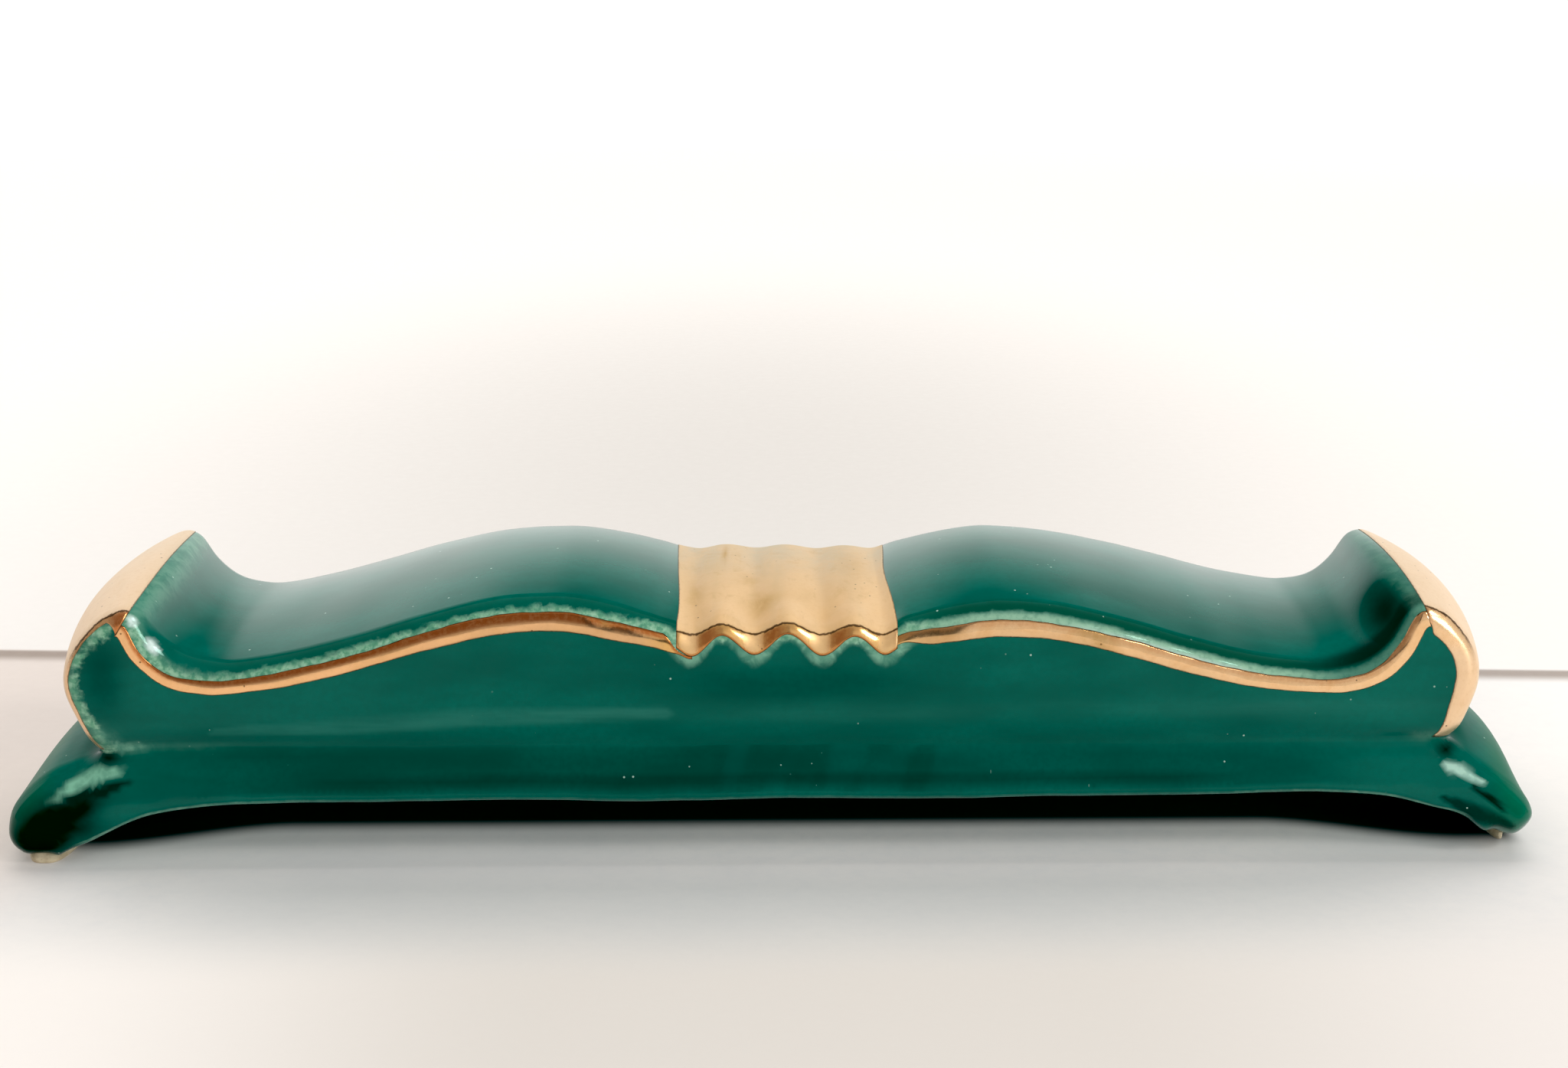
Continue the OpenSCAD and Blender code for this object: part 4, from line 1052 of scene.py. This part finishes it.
def band_patch(name, s, q_lo, q_hi, rows, back, left):
    t = np.linspace(0, 1, rows + 1)[:, None]
    Q = q_lo[None, :] * (1 - t) + q_hi[None, :] * t
    S = np.broadcast_to(s[None, :], Q.shape)
    W = w_of_q(S, Q)
    if back:
        W = 3 - W
    B = border_of(surf(S, W).reshape(-1, 3), *S.shape)
    # painted dark reflection: the upper part of each line, over the rounded edge, darkened towards copper
    copper_and_dark_reflection = step(0.12, 0.42, Q) * (1.0 if left else 0.35)
    if left:
        copper_and_dark_reflection = np.maximum(copper_and_dark_reflection, 0.95 * step(-0.36, -0.14, Q - q_hi[None, :]))
    X = station(S)[0][..., 0]
    smudge = 0.65 * np.exp(-((X - 19.3) / 1.2) ** 2) + 0.5 * np.exp(-((X + 10.6) / 0.35) ** 2) * step(0.1, 0.4, Q) + 0.35 * np.exp(-((X - 9.5) / 1.5) ** 2)
    return grid_shell(name, S, W, Q, {"satin": np.zeros_like(Q), "worn": np.full_like(Q, 0.25), "border": B, "copper_and_dark_reflection": copper_and_dark_reflection, "smudge": smudge})


def wrap_patch(name, s, qf, qb, n_edge, n_top, satin_from=0.0, worn=1.0):
    """Patch from the front border qf(s), over the top or end, to the back border qb(s)."""
    L = edge_len(s)
    rows, Q = [], []
    for t in np.linspace(0, 1, n_edge + 1)[:-1]:
        q = lerp(qf, L, t)
        rows.append(w_of_q(s, q)); Q.append(q)
    for t in (1 - np.cos(np.linspace(0, math.pi, n_top + 1))) / 2:
        rows.append(np.full_like(s, 1 + t)); Q.append(L + 1.0 + 0 * s)
    for t in np.linspace(1, 0, n_edge + 1)[1:]:
        q = lerp(qb, L, t)
        rows.append(3 - w_of_q(s, q)); Q.append(q)
    W, Q = np.array(rows), np.array(Q)
    S = np.broadcast_to(s[None, :], W.shape)
    B = border_of(surf(S, W).reshape(-1, 3), *S.shape)
    satin = step(-0.25, 0.0, Q - L[None, :] - satin_from)
    return S, W, Q, B, satin


def crest_of(Q, L, ph):
    """How far a place on the saddle lies past the line where its edge turns over the top, mm."""
    return Q - (L - 0.82 - 0.12 * ph)


def make_gilt(mat):
    pieces = []
    sl, sr = s_of_x(-6.6), s_of_x(7.0)
    tl, tr = AT["tip_l"] - TOTAL, AT["tip_r"]
    s = run(sl, sr, 0.12)
    X = station(s)[0][:, 0]
    lo = saddle_low(X) + hand(s, 1.0, 0.05)
    S, W, Q, B, satin = wrap_patch("", s, lo, lo, 20, 44)
    # the painted ends run a little askew over the top
    t = np.clip(W - 1, 0, 1)
    e = np.linspace(0, 1, S.shape[1])[None, :]
    S = S + (1 - e) ** 3 * (lerp(0.20, -0.30, smooth(t)) + 0.05 * np.sin(7.0 * t + 1)) + e ** 3 * (lerp(0.20, 0.0, t) + 0.07 * np.sin(9.0 * t))
    L = edge_len(s)[None, :]
    ph = rib_phase(X)[None, :]
    G = surf(S, W)
    gx, gy = G[..., 0], G[..., 1]
    spot = lambda cx, cy, rx, ry: np.exp(-((gx - cx) / rx) ** 2 - ((gy - cy) / ry) ** 2)
    smudge = np.minimum(0.8, 0.75 * spot(-1.2, -5.4, 1.1, 1.7) + 0.50 * spot(-5.3, -3.6, 0.6, 2.4) + 0.40 * spot(-2.0, -1.5, 0.8, 1.2)
                        + 0.30 * spot(4.6, 2.5, 0.7, 3.0) + 0.25 * spot(1.6, -4.5, 0.8, 1.8) + 0.8 * spot(-3.6, 4.2, 0.18, 2.6)) * (Q > L - 0.9)
    # painted light and shade on the ribs: their tops and right-hand sides lightened, their left-hand sides darkened
    turn = np.sin(2 * math.pi * (X - RIB_SHIFT) / RIB_PITCH)[None, :]
    near = 1 - 0.65 * step(-6.5, 3.0, gy)
    smudge = np.maximum(smudge, 0.50 * near * np.clip(-0.75 * ph - 0.65 * turn, 0, 1) * (Q > L - 0.9))
    lit = 0.75 * near * np.clip(0.2 + 0.35 * ph + 0.75 * turn, 0, 1) * step(-0.1, 0.5, crest_of(Q, L, ph))
    crest = crest_of(Q, L, ph)
    satin = step(-0.03, 0.10, crest) * np.ones_like(Q)
    # in each valley a lighter, less glossy patch on the rounded edge is a painted highlight
    valley_highlight = step(0.62, 0.92, 0.5 - 0.5 * np.cos(2 * math.pi * (X - RIB_SHIFT + 0.15) / RIB_PITCH))[None, :] * (1 - step(-0.06, 0.0, crest)) * step(0.10, 0.26, Q - lo[None, :])
    satin = np.maximum(satin, 0.64 * valley_highlight)
    lit = np.maximum(lit, 0.9 * valley_highlight)
    # on the rounded edge the ribs' left-hand sides are darkened towards copper as painted shade, and the lower border
    # is darkened too
    ob = grid_shell("gilt_saddle_band", S, W, Q, {"satin": np.maximum(satin, 0.16), "worn": step(0.0, 0.8, crest) * np.ones_like(Q), "border": B,
                                                  "crest": crest, "smudge": smudge, "lit": lit,
                                                  "copper_and_dark_reflection": np.maximum((1 - step(-0.2, 0.0, crest)) * np.clip(0.02 + 0.14 * ph + 0.75 * np.clip(-turn, 0, 1) ** 1.5, 0, 1),
                                                                       0.95 * (1 - step(0.06, 0.22, Q - lo[None, :])))}, 0.035, 0.05)
    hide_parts("gilt_saddle")
    pieces.append(ob)
    for name, a, b in (("left", tl + 0.50, s_of_x(-5.4)), ("right", s_of_x(7.05), tr - 0.02)):
        for where, back in (("front", False), ("back", True)):
            s = run(a, b, 0.2)
            X = station(s)[0][:, 0]
            lo = -0.40 + hand(s, 2.0 if back else 5.0, 0.035)
            hi = 0.64 + 0.20 * np.exp(-((X + 16) / 6.5) ** 2) + hand(s, 7.0 if back else 3.0, 0.05)
            if name == "left":
                hi = lerp(0.12, hi, step(-38.6, -33.5, X))
                lo = lo - 0.38 * (1 - step(-39.8, -36.5, X))
                k = step(-7.2, -6.3, X)
                hi = lerp(hi, saddle_low(X) - 0.04, k)
                lo = lerp(lo, saddle_low(X) - 0.22, step(-6.6, -5.4, X))
            else:
                k = 1 - step(7.3, 9.5, X)
                lo = lerp(lo, 0.05, k)
            ob = band_patch("gilt_rim_%s_%s" % (where, name), s, lo, np.maximum(hi, lo + 0.05), 8, back, name == "left")
            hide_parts("gilt_line_%s_%s" % (where, name))
            pieces.append(ob)
    for name, a, b in (("left", AT["notch_l"] + 0.35, AT["tip_l"] + 0.6), ("right", AT["tip_r"] - 0.1, AT["notch_r"] - 0.35)):
        s = run(a, b, 0.2)
        f = (s - a) / (b - a)
        if name == "left":
            tip = step(0.84, 0.94, f)
            lo = lerp(0.62 + hand(s, 4.0, 0.06), -0.55, tip)
            fade = 1 - step(0.45, 0.62, f)
        else:
            tip = 1 - step(0.02, 0.10, f)
            lo = -0.12 - 0.62 * np.sin(math.pi * np.clip(f * 1.04, 0, 1)) ** 0.9 + hand(s, 6.0, 0.04)
            fade = step(0.30, 0.50, f)
        S, W, Q, B, satin = wrap_patch("", s, lo, lo, 12, 40, -1.15)
        L = edge_len(s)[None, :]
        crest = Q - (L - 0.62)
        satin = np.maximum(step(-0.06, 0.12, crest), lerp(0.18, 0.5, fade)[None, :])
        copper_and_dark_reflection = tip[None, :] * (1 - step(-0.15, 0.0, crest)) * (0.9 if name == "left" else 0.35)
        ob = grid_shell("gilt_horn_%s" % name, S, W, Q, {"satin": satin, "worn": np.full_like(Q, 0.3), "border": B, "crest": crest,
                                                         "fade": np.broadcast_to(fade[None, :], Q.shape), "copper_and_dark_reflection": copper_and_dark_reflection}, 0.03, 0.05)
        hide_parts("gilt_end_%s" % name)
        pieces.append(ob)
    for p in pieces:
        p.data.materials.append(mat)
        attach(p, "root")
    return pieces


glaze = make_glaze()
glaze.data.materials.append(glaze_material())
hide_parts("glaze_coat")
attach(glaze, "root")

clay = make_clay()
parts = [make_pad(1), make_pad(-1)]
for k, (V, F) in enumerate(parts):
    p = new_object("pad_tool_%d" % k, V, F)
    mod = clay.modifiers.new("join", "BOOLEAN")
    mod.operation = "UNION"
    mod.solver = "EXACT"
    mod.object = p
    dg = bpy.context.evaluated_depsgraph_get()
    me = bpy.data.meshes.new_from_object(clay.evaluated_get(dg))
    clay.modifiers.clear()
    clay.data = me
    bpy.data.objects.remove(p)
# the union leaves long faces that fold when they are split carelessly; as triangles the mesh stays closed
bm = bmesh.new()
bm.from_mesh(clay.data)
bmesh.ops.remove_doubles(bm, verts=bm.verts[:], dist=3e-5)
bmesh.ops.dissolve_degenerate(bm, dist=3e-5, edges=bm.edges[:])
bmesh.ops.triangulate(bm, faces=bm.faces[:], quad_method="BEAUTY", ngon_method="BEAUTY")
bm.to_mesh(clay.data)
bm.free()
clay.data.materials.clear()
clay.data.materials.append(clay_material())
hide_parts("biscuit_body")
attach(clay, "root")

gilt_pieces = make_gilt(gilt_material())

# ---------------------------------------------------------------- stage, light and camera
YAW, PITCH, ROLL = -0.04278, 0.26306, 0.01028
CAM = np.array([-0.672, -147.243, 58.22])
FOCAL, CX, CY = 3100.0, 1132.755, 697.7


def plane(name, corners, mat):
    me = bpy.data.meshes.new(name)
    me.from_pydata([tuple(c * MM for c in p) for p in corners], [], [tuple(range(len(corners)))])
    me.materials.append(mat)
    ob = bpy.data.objects.new(name, me)
    bpy.context.scene.collection.objects.link(ob)
    return ob


plane("floor", [(-900, -900, 0), (900, -900, 0), (900, 900, 0), (-900, 900, 0)], floor_material())


def cove(name, radius, height, a0, a1, n, mat):
    """Upright curved sheet behind the piece."""
    V, F = [], []
    for i in range(n + 1):
        a = math.radians(a0 + (a1 - a0) * i / n)
        V += [(radius * math.sin(a) * MM, radius * math.cos(a) * MM, 0.0), (radius * math.sin(a) * MM, radius * math.cos(a) * MM, height * MM)]
    for i in range(n):
        F.append((2 * i, 2 * i + 2, 2 * i + 3, 2 * i + 1))
    me = bpy.data.meshes.new(name)
    me.from_pydata(V, [], F)
    me.polygons.foreach_set("use_smooth", [True] * len(me.polygons))
    me.materials.append(mat)
    ob = bpy.data.objects.new(name, me)
    bpy.context.scene.collection.objects.link(ob)
    return ob


cove("wall", 420, 540, -85, 85, 64, wall_material())
cards = [cove("card_left", 520, 900, 182, 268, 32, card_material((0.50, 0.47, 0.44), (0.36, 0.30, 0.25), 60.0)),
         cove("card_right", 520, 900, 92, 178, 32, card_material((0.80, 0.78, 0.75), (0.50, 0.46, 0.41), 430.0, 120.0)),
         plane("card_top", [(-600, -600, 905), (600, -600, 905), (600, 600, 905), (-600, 600, 905)], card_material((0.47, 0.43, 0.385), (0.47, 0.43, 0.385), 0.0))]
for card in cards:
    card.visible_camera = False
    card.visible_diffuse = False

cam_data = bpy.data.cameras.new("camera")
cam = bpy.data.objects.new("camera", cam_data)
bpy.context.scene.collection.objects.link(cam)
fwd = Vector((-math.sin(YAW) * math.cos(PITCH), math.cos(YAW) * math.cos(PITCH), -math.sin(PITCH)))
right = Vector((math.cos(YAW), math.sin(YAW), 0))
up = Vector((-math.sin(YAW) * math.sin(PITCH), math.cos(YAW) * math.sin(PITCH), math.cos(PITCH)))
r2 = math.cos(ROLL) * right + math.sin(ROLL) * up
u2 = -math.sin(ROLL) * right + math.cos(ROLL) * up
cam.matrix_world = Matrix(((r2.x, u2.x, -fwd.x, CAM[0] * MM), (r2.y, u2.y, -fwd.y, CAM[1] * MM),
                           (r2.z, u2.z, -fwd.z, CAM[2] * MM), (0, 0, 0, 1)))
cam_data.sensor_width = 36.0
cam_data.sensor_fit = "HORIZONTAL"
cam_data.lens = FOCAL / 2048 * 36.0
cam_data.shift_x = (1024 - CX) / 2048
cam_data.shift_y = (CY - 697.5) / 2048
cam_data.clip_start = 0.005
cam_data.clip_end = 10
bpy.context.scene.camera = cam


def area(name, loc, target, size, size_y, power, color=(1, 1, 1)):
    d = bpy.data.lights.new(name, "AREA")
    d.shape = "RECTANGLE"
    d.size, d.size_y = size * MM, size_y * MM
    d.energy = power
    d.color = color
    ob = bpy.data.objects.new(name, d)
    ob.location = Vector(loc) * MM
    ob.rotation_mode = "QUATERNION"
    ob.rotation_quaternion = (Vector(target) - Vector(loc)).to_track_quat("-Z", "Y")
    bpy.context.scene.collection.objects.link(ob)
    return ob


area("window_upper", (256, -231, 289), (0, 0, 8), 100, 90, 0.55, (1.0, 0.99, 0.97))
area("window_lower", (292, -313, 139), (0, 0, 8), 100, 90, 0.50, (1.0, 0.99, 0.97))
top = area("overhead", (10, 160, 420), (0, 0, 0), 520, 380, 1.85, (1.0, 0.98, 0.96))
top.visible_glossy = False
fill = area("front_fill", (-60, -260, 340), (0, 0, 0), 420, 260, 0.50, (0.97, 0.99, 1.0))
fill.visible_glossy = False
for ob in bpy.data.objects:
    if ob.type == "LIGHT":
        ob.visible_camera = False

world = bpy.data.worlds.new("studio")
bpy.context.scene.world = world
world.use_nodes = True
wt = world.node_tree
wt.nodes.clear()
bg_seen = wt.nodes.new("ShaderNodeBackground")
bg_seen.inputs[0].default_value = (0.93, 0.91, 0.89, 1)
bg_light = wt.nodes.new("ShaderNodeBackground")
bg_light.inputs[0].default_value = (0.05, 0.052, 0.055, 1)
lp = wt.nodes.new("ShaderNodeLightPath")
mx = wt.nodes.new("ShaderNodeMixShader")
wo = wt.nodes.new("ShaderNodeOutputWorld")
wt.links.new(lp.outputs["Is Camera Ray"], mx.inputs[0])
wt.links.new(bg_light.outputs[0], mx.inputs[1])
wt.links.new(bg_seen.outputs[0], mx.inputs[2])
wt.links.new(mx.outputs[0], wo.inputs[0])

vs = bpy.context.scene.view_settings
vs.view_transform = "Standard"
vs.look = "None"
vs.exposure = 0.0
vs.use_curve_mapping = True
vs.curve_mapping.black_level = (0.010, 0.004, 0.004)
